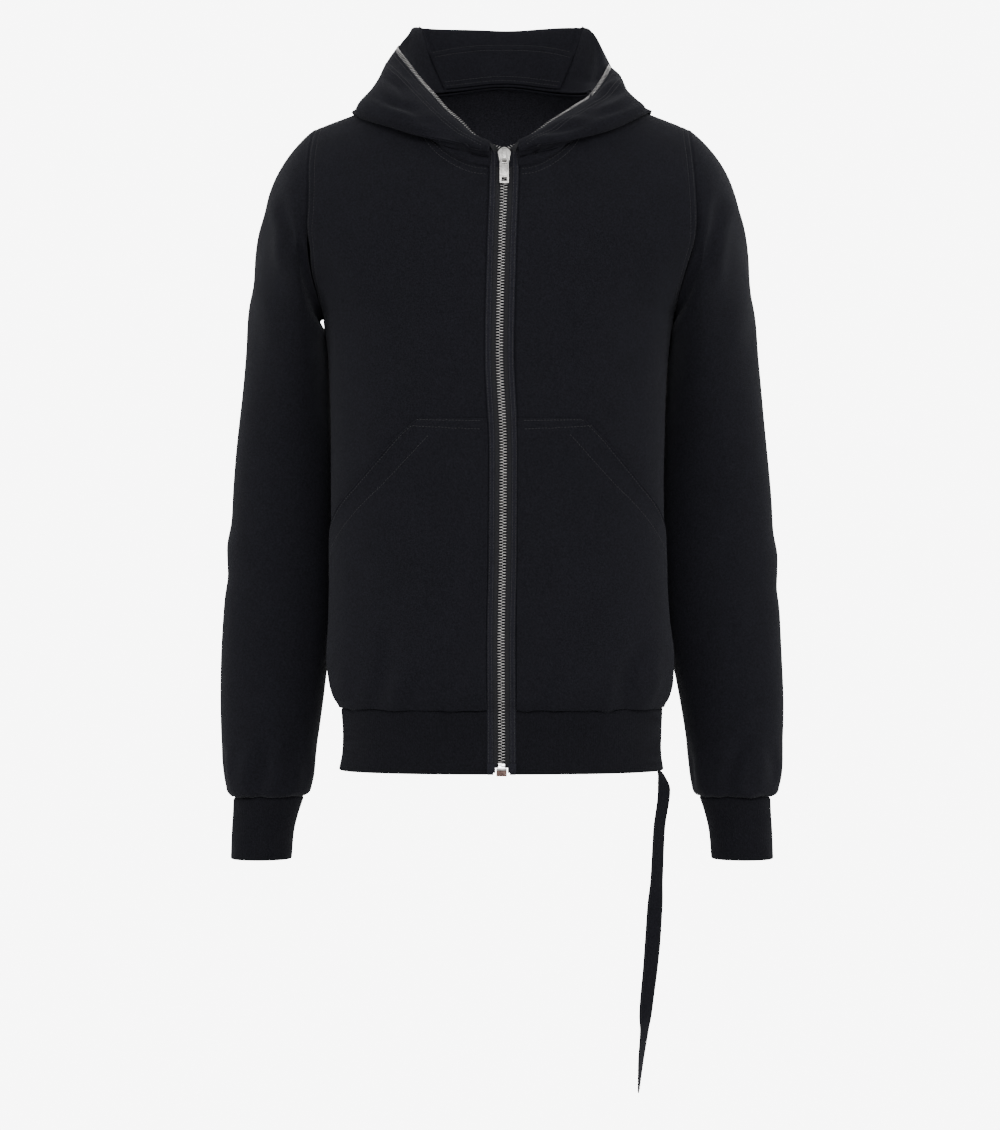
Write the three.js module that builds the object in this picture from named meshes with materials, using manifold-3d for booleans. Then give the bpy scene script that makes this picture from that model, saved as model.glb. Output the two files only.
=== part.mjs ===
// A zip up hoodie, filled out as it is worn, with its hood folded down behind the neck.
// Millimetres. +Z is up, the front faces -Y, and +X is the wearer's left.
// The origin is the middle of the neck opening, level with the sides of the neck.
import * as THREE from 'three';
import Module from 'manifold-3d';
import { mergeVertices } from 'three/addons/utils/BufferGeometryUtils.js';

// Cloth
const CLOTH = 2.0;                 // brushed sweatshirt fleece
const RIB = 2.8;                   // doubled rib knit
const POCKET_CLOTH = 1.6;
const FACING_CLOTH = 1.2;
const SEAM_GAP = 0.36;             // between two pieces at a seam
const FOLDED_GAP = 1.25;           // where the cloth is folded sharply at its seam
const LAY_GAP = 0.8;               // between a panel and what lies on it

// Colours
const FLEECE = 0x1b1b20;
const RIB_COLOUR = 0x18181c;
const STRIP_COLOUR = 0x212126;
const TAPE_COLOUR = 0x121216;
const NICKEL = 0xc9c8c6;
const DARK_METAL = 0x8f8a86;

// Levels
const BAND_SEAM = -639;
const HEM = -703;
const UNDERARM = -235;
const CHEST = -190;                // the shoulders start to round off here
const SHOULDER_POINT = -38.9;

// Section of the body: superellipse exponents across and in depth
const ACROSS = 2.4;
const DEEP = 2.3;
const ROUND = 2.2;                 // rounding of the shoulders

// Half widths to the wearer's right and left, and depths in front and behind, by height
const TORSO = [
  { z: -703, right: 169.0, left: 168.0, front: 98, back: 102 },
  { z: -690, right: 166.5, left: 166.0, front: 97, back: 101 },
  { z: -665, right: 165.5, left: 166.0, front: 97, back: 101 },
  { z: -639, right: 167.5, left: 167.0, front: 99, back: 103 },
  { z: -628, right: 174.0, left: 172.5, front: 104, back: 108 },
  { z: -612, right: 178.5, left: 176.0, front: 107, back: 111 },
  { z: -590, right: 180.5, left: 176.5, front: 108, back: 112 },
  { z: -545, right: 178.0, left: 171.5, front: 108, back: 112 },
  { z: -487, right: 177.0, left: 168.5, front: 109, back: 113 },
  { z: -420, right: 177.5, left: 168.5, front: 111, back: 115 },
  { z: -340, right: 178.0, left: 169.5, front: 115, back: 121 },
  { z: -292, right: 179.5, left: 171.6, front: 118, back: 126 },
  { z: -253, right: 183.0, left: 175.0, front: 120, back: 130 },
  { z: -235, right: 186.0, left: 178.5, front: 121, back: 131 },
  { z: -215, right: 196.0, left: 190.0, front: 122, back: 132 },
  { z: -190, right: 212.0, left: 206.0, front: 122, back: 132 },
  { z: -160, right: 228.0, left: 224.0, front: 122, back: 132 },
  { z: -130, right: 240.0, left: 238.0, front: 122, back: 132 },
  { z: -76, right: 247.0, left: 246.0, front: 122, back: 132 },
  { z: 30, right: 252.0, left: 252.0, front: 122, back: 132 },
];

// Armhole seam: how far out it lies on each side, by height
const ARMHOLE = [
  { z: -235, right: 186.0, left: 178.5 },
  { z: -215, right: 190.0, left: 182.0 },
  { z: -190, right: 196.0, left: 189.0 },
  { z: -160, right: 199.0, left: 196.0 },
  { z: -130, right: 198.5, left: 198.0 },
  { z: -76, right: 198.6, left: 196.0 },
  { z: -38.9, right: 193.4, left: 193.4 },
];

// Neck seam in plan, from the zip round to the middle of the back
const FRONT_NECK = [
  { x: 15, y: -110 },
  { x: 34, y: -108 },
  { x: 55, y: -102 },
  { x: 73, y: -91 },
  { x: 85, y: -70 },
  { x: 91, y: -42 },
  { x: 93, y: -18 },
  { x: 92, y: 0 },
];
const BACK_NECK = [
  { x: 92, y: 0 },
  { x: 90, y: 10 },
  { x: 84, y: 20 },
  { x: 74, y: 29 },
  { x: 60, y: 37 },
  { x: 45, y: 42 },
  { x: 30, y: 45 },
  { x: 15, y: 46.5 },
  { x: 0, y: 47 },
];
const SHOULDER_STEPS = 5;
const ARMHOLE_STEPS = 10;

// Heights of the rows below the underarm. The pocket's slanted opening falls one column
// towards the zip with each row between its two ends
const FRONT_ROWS = [
  -639, -628, -612, -590, -556, -518, -490, -473, -461, -449, -437, -425, -413, -398, -381, -362, -345,
  -310, -272, -235,
];
const BACK_ROWS = [-639, -628, -612, -590, -556, -518, -473, -425, -381, -345, -310, -272, -235];

// Sideways wander of the zip, by height
const ZIP_WANDER = [
  { z: -703, x: -0.5 },
  { z: -678, x: -0.5 },
  { z: -577, x: -1.0 },
  { z: -477, x: 0.6 },
  { z: -376, x: 1.2 },
  { z: -276, x: -2.6 },
  { z: -175, x: -0.5 },
  { z: -84, x: 2.2 },
  { z: -60, x: 2.2 },
];
const WANDER_REACH = 70;

// Sleeve rings from the armhole to the cuff seam. Outer and inner edge, the middle's place
// in depth, and the half depths in front and behind. The inner edge is the left sleeve's.
const SLEEVE = [
  { outX: 207, outZ: -51, inX: 183.5, inZ: -238.5, midY: 1, front: 76, back: 82 },
  { outX: 222, outZ: -67, inX: 184, inZ: -244, midY: 8, front: 82, back: 77 },
  { outX: 236, outZ: -88, inX: 179.5, inZ: -253, midY: 18, front: 88, back: 68 },
  { outX: 247.5, outZ: -121, inX: 174.6, inZ: -267, midY: 27, front: 91, back: 60 },
  { outX: 256, outZ: -160, inX: 172.6, inZ: -285, midY: 32, front: 87, back: 57 },
  { outX: 262.5, outZ: -210, inX: 171, inZ: -305, midY: 36, front: 81, back: 57 },
  { outX: 268.5, outZ: -265, inX: 169.5, inZ: -332, midY: 40, front: 73, back: 57 },
  { outX: 274, outZ: -322, inX: 168.5, inZ: -366, midY: 39, front: 60, back: 62 },
  { outX: 280, outZ: -378, inX: 166.5, inZ: -405, midY: 45, front: 57, back: 58 },
  { outX: 285, outZ: -434, inX: 165.5, inZ: -448, midY: 48, front: 54, back: 55 },
  { outX: 289, outZ: -490, inX: 166.0, inZ: -493, midY: 49, front: 52, back: 53 },
  { outX: 293, outZ: -545, inX: 169.5, inZ: -540, midY: 48, front: 51, back: 51 },
  { outX: 295.5, outZ: -600, inX: 178.5, inZ: -590, midY: 45, front: 49, back: 49 },
  { outX: 296, outZ: -645, inX: 189.5, inZ: -635, midY: 41, front: 47, back: 47 },
  { outX: 294.5, outZ: -680, inX: 195.5, inZ: -668, midY: 37, front: 46, back: 45 },
  { outX: 292.5, outZ: -704, inX: 199.5, inZ: -696, midY: 34, front: 45, back: 44 },
  { outX: 289, outZ: -721, inX: 202.0, inZ: -717, midY: 32, front: 42, back: 41 },
  { outX: 281.5, outZ: -730, inX: 209.5, inZ: -728, midY: 31, front: 35, back: 34 },
];
// How much of the armhole's own form each of the first rings keeps
const ARMHOLE_KEPT = [0.72, 0.46, 0.26, 0.12, 0.04];

const CUFF = [
  { outX: 281.5, outZ: -730, inX: 209.5, inZ: -728, midY: 31, front: 35, back: 34 },
  { outX: 282.0, outZ: -748, inX: 212.5, inZ: -747, midY: 29, front: 34, back: 33 },
  { outX: 283.0, outZ: -768, inX: 216.5, inZ: -767, midY: 27, front: 33, back: 32 },
  { outX: 284.0, outZ: -798, inX: 219.0, inZ: -798, midY: 25, front: 32, back: 31 },
];

// Hood profiles by angle round the neck, 0 in front and 180 behind. From the neck seam the
// cloth rises to a ridge, falls to a lip, bulges out and ends at the zipped edge.
// R is the distance from the neck's middle, and Z the height.
const HOOD_MIDDLE_Y = -25;
const HOOD_RIGHT = [
  { at: 0, ridgeR: 85.5, ridgeZ: -84, lipR: 88, lipZ: -79, bulgeR: 87, bulgeZ: -75, edgeR: 80, edgeZ: -71 },
  { at: 22, ridgeR: 90, ridgeZ: -76, lipR: 96, lipZ: -70, bulgeR: 95, bulgeZ: -62, edgeR: 78, edgeZ: -57 },
  { at: 35, ridgeR: 94, ridgeZ: -68, lipR: 102, lipZ: -65, bulgeR: 100, bulgeZ: -55, edgeR: 77, edgeZ: -42 },
  { at: 48, ridgeR: 98, ridgeZ: -54, lipR: 114, lipZ: -59, bulgeR: 111, bulgeZ: -42, edgeR: 77, edgeZ: -30 },
  { at: 62, ridgeR: 102, ridgeZ: -34, lipR: 127, lipZ: -49, bulgeR: 123, bulgeZ: -26, edgeR: 80, edgeZ: -12 },
  { at: 79, ridgeR: 101, ridgeZ: -8, lipR: 145, lipZ: -33, bulgeR: 136, bulgeZ: -7, edgeR: 87, edgeZ: 6 },
  { at: 94, ridgeR: 103, ridgeZ: 18, lipR: 156, lipZ: -16, bulgeR: 144, bulgeZ: 6, edgeR: 101, edgeZ: 27 },
  { at: 105, ridgeR: 109, ridgeZ: 38, lipR: 160, lipZ: -13, bulgeR: 152, bulgeZ: 10, edgeR: 119, edgeZ: 42 },
  { at: 113, ridgeR: 117, ridgeZ: 54, lipR: 163, lipZ: -16, bulgeR: 160, bulgeZ: 12, edgeR: 132, edgeZ: 48 },
  { at: 122, ridgeR: 126, ridgeZ: 69, lipR: 167, lipZ: -30, bulgeR: 170, bulgeZ: 8, edgeR: 146, edgeZ: 52 },
  { at: 133, ridgeR: 130, ridgeZ: 76, lipR: 172, lipZ: -64, bulgeR: 181, bulgeZ: -4, edgeR: 160, edgeZ: 50 },
  { at: 147, ridgeR: 113, ridgeZ: 75, lipR: 177, lipZ: -118, bulgeR: 191, bulgeZ: -28, edgeR: 170, edgeZ: 46 },
  { at: 163, ridgeR: 100, ridgeZ: 74, lipR: 181, lipZ: -155, bulgeR: 199, bulgeZ: -52, edgeR: 180, edgeZ: 44 },
  { at: 180, ridgeR: 97, ridgeZ: 73, lipR: 182, lipZ: -167, bulgeR: 203, bulgeZ: -62, edgeR: 186, edgeZ: 43 },
];
const HOOD_LEFT = [
  { at: 0, ridgeR: 85.5, ridgeZ: -84, lipR: 88, lipZ: -79, bulgeR: 87, bulgeZ: -75, edgeR: 80, edgeZ: -71 },
  { at: 22, ridgeR: 90, ridgeZ: -76, lipR: 96, lipZ: -70, bulgeR: 95, bulgeZ: -62, edgeR: 79, edgeZ: -55 },
  { at: 35, ridgeR: 94, ridgeZ: -69, lipR: 103, lipZ: -66, bulgeR: 101, bulgeZ: -56, edgeR: 80, edgeZ: -44 },
  { at: 48, ridgeR: 98, ridgeZ: -56, lipR: 113, lipZ: -60, bulgeR: 111, bulgeZ: -44, edgeR: 82, edgeZ: -35 },
  { at: 62, ridgeR: 104, ridgeZ: -40, lipR: 126, lipZ: -50, bulgeR: 123, bulgeZ: -32, edgeR: 87, edgeZ: -24 },
  { at: 79, ridgeR: 107, ridgeZ: -18, lipR: 143, lipZ: -34, bulgeR: 136, bulgeZ: -14, edgeR: 96, edgeZ: -8 },
  { at: 94, ridgeR: 104, ridgeZ: 0, lipR: 153, lipZ: -17, bulgeR: 144, bulgeZ: -1, edgeR: 108, edgeZ: 12 },
  { at: 105, ridgeR: 108, ridgeZ: 17, lipR: 157, lipZ: -14, bulgeR: 150, bulgeZ: 3, edgeR: 122, edgeZ: 25 },
  { at: 113, ridgeR: 115, ridgeZ: 39, lipR: 161, lipZ: -17, bulgeR: 160, bulgeZ: 6, edgeR: 137, edgeZ: 30 },
  { at: 122, ridgeR: 127, ridgeZ: 64, lipR: 166, lipZ: -30, bulgeR: 168, bulgeZ: 3, edgeR: 146, edgeZ: 36 },
  { at: 133, ridgeR: 129, ridgeZ: 76, lipR: 172, lipZ: -64, bulgeR: 180, bulgeZ: -8, edgeR: 160, edgeZ: 39 },
  { at: 147, ridgeR: 112, ridgeZ: 76, lipR: 177, lipZ: -118, bulgeR: 191, bulgeZ: -30, edgeR: 170, edgeZ: 41 },
  { at: 163, ridgeR: 100, ridgeZ: 74, lipR: 181, lipZ: -155, bulgeR: 199, bulgeZ: -52, edgeR: 180, edgeZ: 42 },
  { at: 180, ridgeR: 97, ridgeZ: 73, lipR: 182, lipZ: -167, bulgeR: 203, bulgeZ: -62, edgeR: 186, edgeZ: 43 },
];
const FOLD_RADIUS = 5;             // of the hood's folds, where they are full
const HOOD_CLEAR = 2.2;            // between the folded hood and the shoulders
const HOOD_SEAM_COLUMN = 11;       // column where the side and middle hood panels meet

// Pockets: the heights of the two ends of the slanted opening, and how far each of the
// other edges is drawn in, as a share of the panel's next cell
const POCKET_TOP = -345;
const POCKET_SIDE = -473;
const POCKET_DRAWN_IN = 0.06;

// Half moon inside the hood's back wall, as shares of the first two rows of the hood
const FACING = { foot: 0.04, ends: 0.62, top: 0.8, steps: 4 };

// Zip
const PANEL_EDGE = 15;             // from the zip's middle to the front panel
const STRIP = { from: 8.3, to: 14.6, high: 0, low: -1.6 };
const TAPE = { from: 4.3, to: 13.6, high: -1.95, low: -2.75 };
const CHAIN = { half: 3.95, high: -0.5, low: -4.0 };
const CHAIN_TOP = -87.6;
const STRIP_TOP = -70;             // the strips go on up beside the slider
const ZIP_STEPS = 24;
const BOX_TOP = -697.3;
const BOX = { half: 5.3, bottom: -706, high: -0.3, low: -4.6, clear: 0.4 };
const BACK_CLEAR = 0.012;          // share of the last stretch that parts the two hood zips
const EDGE_TEETH = { wide: 4.4, high: 1.5, low: -1.5, clear: 0.4 };

// Slider and pull tab, in the slider's own frame: x across, y out from the cloth, z up
const SLIDER_AT = -78;             // height of the slider's middle
const SLIDER = { top: 8.2, bottom: -9.6, wide: 6.6, narrow: 4.4, low: -5.2, high: 1.4 };
const CROWN = { half: 1.9, top: 6.4, bottom: -8.6, tall: 5.2, thick: 1.5 };
const TAB = { half: 4.6, long: 27.6, thick: 1.3, bar: 1.4, slotHalf: 2.6, slotLong: 5 };
const TAB_HOLE = { half: 2.6, top: -20.6, bottom: -24.7 };
const PIVOT = { out: 2.4, up: -5.9 };

// Strap that hangs from inside the hem on the wearer's left
const STRAP_WIDE = 17;
const STRAP_CLOTH = 1.2;
const STRAP = [
  { z: -660, x: 160.4, y: 0, turn: 90 },
  { z: -690, x: 160.4, y: 0, turn: 90 },
  { z: -703, x: 162.0, y: 0, turn: 84 },
  { z: -711, x: 165.6, y: 1, turn: 66 },
  { z: -726, x: 168.6, y: 2, turn: 38 },
  { z: -767, x: 163.6, y: 3, turn: 42 },
  { z: -820, x: 161.0, y: 4, turn: 38 },
  { z: -851, x: 159.0, y: 4, turn: 14 },
  { z: -882, x: 157.0, y: 4, turn: 12 },
  { z: -913, x: 154.3, y: 3, turn: 22 },
  { z: -944, x: 150.8, y: 2, turn: 31 },
  { z: -960, x: 149.3, y: 1, turn: 38 },
  { z: -975, x: 148.2, y: 0, turn: 56 },
  { z: -1007, x: 144.6, y: 0, turn: 69 },
  { z: -1040, x: 142.0, y: 0, turn: 86 },
];
const STRAP_STEPS = 26;

const wasm = await Module();
wasm.setup();

const hoodie = new THREE.Group();

// Slope of a smooth curve through three rows, level where the rows turn back
function slopeAt(before, here, after, key, column) {
  const a = (here[column] - before[column]) / (here[key] - before[key]);
  const b = (after[column] - here[column]) / (after[key] - here[key]);
  return a * b > 0 ? (2 * a * b) / (a + b) : 0;
}

// A table's column at a value of its key, on a smooth curve through the rows
function lookUp(table, key, value, column) {
  const last = table.length - 1;
  if (value <= table[0][key]) return table[0][column];
  if (value >= table[last][key]) return table[last][column];
  const i = table.findIndex((row) => row[key] > value) - 1;
  const a = table[i];
  const b = table[i + 1];
  const run = b[key] - a[key];
  const t = (value - a[key]) / run;
  const leave = i > 0 ? slopeAt(table[i - 1], a, b, key, column) : (b[column] - a[column]) / run;
  const arrive = i + 1 < last ? slopeAt(a, b, table[i + 2], key, column) : (b[column] - a[column]) / run;
  const h = t * t * (3 - 2 * t);
  return a[column] * (1 - h) + b[column] * h
    + run * t * (1 - t) * ((1 - t) * leave - t * arrive);
}

function sideName(side) {
  return side > 0 ? 'left' : 'right';
}

function shoulderHeight(x) {
  const crown = 24.1;
  const slope = 0.4;
  const blunt = 40;
  return crown - slope * (Math.hypot(x, blunt) - blunt);
}

// Share of the full depth that the body has at a place, before the shoulders round off
function acrossShare(x, z) {
  const half = lookUp(TORSO, 'z', z, x < 0 ? 'right' : 'left');
  return Math.max(0, 1 - (Math.abs(x) / half) ** ACROSS) ** (1 / DEEP);
}

function roundShare(x, z) {
  const up = (z - CHEST) / (shoulderHeight(x) - CHEST);
  return up <= 0 ? 1 : Math.sqrt(Math.max(0, 1 - up ** ROUND));
}

// Depth of the front (face -1) or the back (face 1) at a place
function bodyDepth(x, z, face) {
  const full = lookUp(TORSO, 'z', z, face < 0 ? 'front' : 'back');
  return face * full * acrossShare(x, z) * roundShare(x, z);
}

// Height at which the body's rounded shoulders have a place of the neck seam
function neckHeight(x, y) {
  const full = lookUp(TORSO, 'z', 0, y < 0 ? 'front' : 'back');
  let z = 0;
  for (let pass = 0; pass < 8; pass += 1) {
    const share = Math.abs(y) / (full * acrossShare(x, z));
    z = CHEST + (shoulderHeight(x) - CHEST) * (1 - share * share) ** (1 / ROUND);
  }
  return z;
}

function wander(x, z) {
  const near = Math.max(0, 1 - Math.abs(x) / WANDER_REACH);
  return x + lookUp(ZIP_WANDER, 'z', z, 'x') * near * near * (3 - 2 * near);
}

function bodyPoint(x, z, face) {
  const y = bodyDepth(x, z, face);
  return new THREE.Vector3(face < 0 ? wander(x, z) : x, y, z);
}

// Place across the body at a share of the way from the middle round to the side seam
function acrossAt(z, side, share) {
  const half = lookUp(TORSO, 'z', z, sideName(side));
  return side * half * Math.sin((share * Math.PI) / 2) ** (2 / ACROSS);
}

function shareAt(x, z, side) {
  const half = lookUp(TORSO, 'z', z, sideName(side));
  return (Math.asin(Math.min(1, (Math.abs(x) / half)) ** (ACROSS / 2)) * 2) / Math.PI;
}

function shoulderLine(side) {
  const neck = FRONT_NECK[FRONT_NECK.length - 1].x;
  const tip = ARMHOLE[ARMHOLE.length - 1].left;
  return Array.from({ length: SHOULDER_STEPS }, (_, i) => {
    const x = neck + ((tip - neck) * (i + 1)) / SHOULDER_STEPS;
    return new THREE.Vector2(side * x, shoulderHeight(x));
  });
}

function neckLine(rows, side) {
  return rows.map(({ x, y }) => new THREE.Vector2(side * x, neckHeight(side * x, y)));
}

// Fills the area between four edges, seen from the front, and returns its rows from the
// lower edge to the upper edge
function fillBetween(lower, upper, inner, outer) {
  const columns = lower.length - 1;
  const rows = inner.length - 1;
  return inner.map((_, j) => lower.map((__, i) => {
    const u = i / columns;
    const v = j / rows;
    const p = new THREE.Vector2();
    p.addScaledVector(lower[i], 1 - v).addScaledVector(upper[i], v);
    p.addScaledVector(inner[j], 1 - u).addScaledVector(outer[j], u);
    p.addScaledVector(lower[0], -(1 - u) * (1 - v)).addScaledVector(lower[columns], -u * (1 - v));
    return p.addScaledVector(upper[0], -(1 - u) * v).addScaledVector(upper[columns], -u * v);
  }));
}

function easedStep(j, steps) {
  return (1 - Math.cos((Math.PI * j) / steps)) / 2;
}

function armholeEdge(side) {
  return Array.from({ length: ARMHOLE_STEPS + 1 }, (_, j) => {
    const z = UNDERARM + (SHOULDER_POINT - UNDERARM) * easedStep(j, ARMHOLE_STEPS);
    return new THREE.Vector2(side * lookUp(ARMHOLE, 'z', z, sideName(side)), z);
  });
}

// A sheet of cloth: a grid of points on its outer face and the direction out at each. Its
// cells are split from the first column up to the next, or the other way where crossed
function makeSheet(points, around, outward, crossed = false) {
  const rows = points.length;
  const columns = points[0].length;
  const at = (j, i) => {
    const row = points[Math.min(rows - 1, Math.max(0, j))];
    return row[around ? (i + columns) % columns : Math.min(columns - 1, Math.max(0, i))];
  };
  const normals = points.map((row, j) => row.map((_, i) => {
    const across = at(j, i + 1).clone().sub(at(j, i - 1));
    const along = at(j + 1, i).clone().sub(at(j - 1, i));
    return across.cross(along).normalize().multiplyScalar(outward);
  }));
  return { points, normals, around, outward, crossed };
}

// Turns a panel's direction out at its side seams straight to the side
function squareSides(sheet, heights, seams) {
  const step = 4;
  heights.forEach((z, j) => seams.forEach(([i, side]) => {
    const half = (at) => lookUp(TORSO, 'z', at, sideName(side));
    sheet.normals[j][i].set(side, 0, (half(z - step) - half(z + step)) / (2 * step)).normalize();
  }));
  return sheet;
}

function frontPanel(side) {
  const start = shareAt(PANEL_EDGE, UNDERARM, side);
  const columns = FRONT_NECK.length - 1 + SHOULDER_STEPS;
  const share = (i) => start + ((1 - start) * i) / columns;
  const rows = FRONT_ROWS.map((z) => Array.from({ length: columns + 1 }, (_, i) => {
    const x = i === 0 ? side * PANEL_EDGE : acrossAt(z, side, share(i));
    return i === columns ? new THREE.Vector3(x, 0, z) : bodyPoint(x, z, -1);
  }));
  const upper = neckLine(FRONT_NECK, side).concat(shoulderLine(side));
  const lower = rows[rows.length - 1].map((p, i) => {
    const x = i === 0 ? side * PANEL_EDGE : acrossAt(UNDERARM, side, share(i));
    return new THREE.Vector2(x, UNDERARM);
  });
  const inner = Array.from({ length: ARMHOLE_STEPS + 1 }, (_, j) => new THREE.Vector2(
    side * PANEL_EDGE,
    UNDERARM + (upper[0].y - UNDERARM) * easedStep(j, ARMHOLE_STEPS),
  ));
  fillBetween(lower, upper, inner, armholeEdge(side)).slice(1).forEach((row) => {
    rows.push(row.map((p) => bodyPoint(p.x, p.y, -1)));
  });
  return squareSides(makeSheet(rows, false, side, true), FRONT_ROWS, [[columns, side]]);
}

function backPanel() {
  const half = BACK_NECK.length - 1 + SHOULDER_STEPS;
  const rows = BACK_ROWS.map((z) => Array.from({ length: 2 * half + 1 }, (_, i) => {
    const side = i < half ? -1 : 1;
    const share = Math.abs(i - half) / half;
    const x = acrossAt(z, side, share);
    return share === 1 ? new THREE.Vector3(x, 0, z) : bodyPoint(x, z, 1);
  }));
  const halves = [-1, 1].map((side) => {
    const upper = neckLine([...BACK_NECK].reverse(), side).concat(shoulderLine(side));
    const lower = upper.map((_, i) => new THREE.Vector2(acrossAt(UNDERARM, side, i / half), UNDERARM));
    const inner = Array.from({ length: ARMHOLE_STEPS + 1 }, (_, j) => new THREE.Vector2(
      0,
      UNDERARM + (upper[0].y - UNDERARM) * easedStep(j, ARMHOLE_STEPS),
    ));
    return fillBetween(lower, upper, inner, armholeEdge(side)).slice(1);
  });
  halves[0].forEach((row, j) => {
    const flat = [...row].reverse().concat(halves[1][j].slice(1));
    rows.push(flat.map((p) => bodyPoint(p.x, p.y, 1)));
  });
  return squareSides(makeSheet(rows, false, -1), BACK_ROWS, [[0, -1], [2 * half, 1]]);
}

// A ring of a sleeve or cuff, from its outer edge round by the front
function sleeveRing(row, side, steps) {
  const spread = lookUp(TORSO, 'z', row.inZ, 'right') - lookUp(TORSO, 'z', row.inZ, 'left');
  const inX = row.inX + (side < 0 ? Math.max(0, spread) : 0);
  return Array.from({ length: steps }, (_, i) => {
    const turn = (2 * Math.PI * i) / steps;
    const c = Math.cos(turn);
    const s = Math.sin(turn);
    const deep = s > 0 ? -row.front * s ** 0.92 : row.back * (-s) ** 0.92;
    return new THREE.Vector3(
      side * ((row.outX + inX) / 2 + ((row.outX - inX) / 2) * c),
      row.midY + deep,
      (row.outZ + row.inZ) / 2 + ((row.outZ - row.inZ) / 2) * c,
    );
  });
}

// Sleeve, whose first ring is the armhole edge of the two panels
function sleeve(side, front, back) {
  const edgeOf = (sheet, last) => sheet.points.slice(-1 - ARMHOLE_STEPS)
    .map((row) => row[last ? row.length - 1 : 0]);
  const frontEdge = edgeOf(front, true).reverse();
  const backEdge = edgeOf(back, side > 0);
  const loop = frontEdge.concat(backEdge.slice(1, -1)).map((p) => p.clone());
  const steps = loop.length;
  const tip = loop[0];
  const pit = loop[steps / 2];
  const plain = sleeveRing({
    ...SLEEVE[0], outX: Math.abs(tip.x), outZ: tip.z, inX: Math.abs(pit.x), inZ: pit.z, midY: 0,
  }, side, steps);
  plain.forEach((p, i) => {
    const c = Math.cos((2 * Math.PI * i) / steps);
    p.x = side * ((Math.abs(tip.x) + Math.abs(pit.x)) / 2 + ((Math.abs(tip.x) - Math.abs(pit.x)) / 2) * c);
  });
  const rings = SLEEVE.map((row, k) => sleeveRing(row, side, steps).map((p, i) => {
    const kept = ARMHOLE_KEPT[k] ?? 0;
    return p.addScaledVector(loop[i].clone().sub(plain[i]), kept);
  }));
  return makeSheet([loop, ...rings], true, side);
}

function cuff(side) {
  const steps = 2 * ARMHOLE_STEPS;
  return makeSheet(CUFF.map((row) => sleeveRing(row, side, steps)), true, side);
}

function hemBand() {
  const levels = [HEM, -690, -665, BAND_SEAM];
  const perSide = 9;
  const rows = levels.map((z) => {
    const half = (side, face, from) => Array.from({ length: perSide + 1 }, (_, i) => {
      const share = from + ((1 - from) * i) / perSide;
      const x = acrossAt(z, side, share);
      return share === 1 ? new THREE.Vector3(x, 0, z) : bodyPoint(x, z, face);
    });
    const front = shareAt(PANEL_EDGE, z, 1);
    return half(1, -1, front)
      .concat(half(1, 1, 0).reverse().slice(1))
      .concat(half(-1, 1, 0).slice(1))
      .concat(half(-1, -1, front).reverse().slice(1));
  });
  return makeSheet(rows, false, 1);
}

// Points of one hood profile, in a plane through the neck's middle, from the neck seam out
function hoodProfile(neck, row, fullness) {
  const r = FOLD_RADIUS * fullness;
  const { ridgeR, ridgeZ, lipR, lipZ, bulgeR, bulgeZ, edgeR, edgeZ } = row;
  return [
    new THREE.Vector2(neck.x, neck.y),
    new THREE.Vector2((neck.x + ridgeR) / 2, (neck.y + ridgeZ) / 2),
    new THREE.Vector2(ridgeR - r * 0.75, ridgeZ - r * 1.1),
    new THREE.Vector2(ridgeR, ridgeZ),
    new THREE.Vector2(ridgeR + r, ridgeZ - r * 1.2),
    new THREE.Vector2((ridgeR + lipR) / 2, (ridgeZ + lipZ) / 2),
    new THREE.Vector2(lipR - r * 1.1, lipZ + r * 1.2),
    new THREE.Vector2(lipR, lipZ),
    new THREE.Vector2(lipR + r * 0.8, lipZ + r * 1.4),
    new THREE.Vector2(bulgeR, bulgeZ),
    new THREE.Vector2((bulgeR + edgeR) / 2 + 3 * fullness, (bulgeZ + edgeZ) / 2 + 3),
    new THREE.Vector2(edgeR, edgeZ),
  ];
}

// How full the hood's folds are at an angle round the neck
function foldFullness(angle) {
  const from = 20;
  const to = 70;
  const t = Math.min(1, Math.max(0, (angle - from) / (to - from)));
  return t * t * (3 - 2 * t);
}

// Lifts a point off the shoulders, chest and back until it is clear of them
function liftOff(p, clear) {
  const face = p.y < 0 ? -1 : 1;
  const past = Math.abs(p.y) - Math.abs(bodyDepth(p.x, p.z, face));
  const full = lookUp(TORSO, 'z', 0, face < 0 ? 'front' : 'back');
  const share = Math.abs(p.y) / (full * acrossShare(p.x, p.z));
  const above = share < 1 ? p.z - neckHeight(p.x, p.y) : Infinity;
  if (past > 0 && above === Infinity) {
    if (past < clear) p.y += face * (clear - past);
    return p;
  }
  const slant = Math.hypot(past, above);
  const apart = past > 0 ? (past * above) / slant : -Math.abs(past * above) / slant;
  if (apart < clear) {
    p.y += (face * Math.abs(above) * (clear - apart)) / slant;
    p.z += (Math.abs(past) * (clear - apart)) / slant;
  }
  return p;
}

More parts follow.
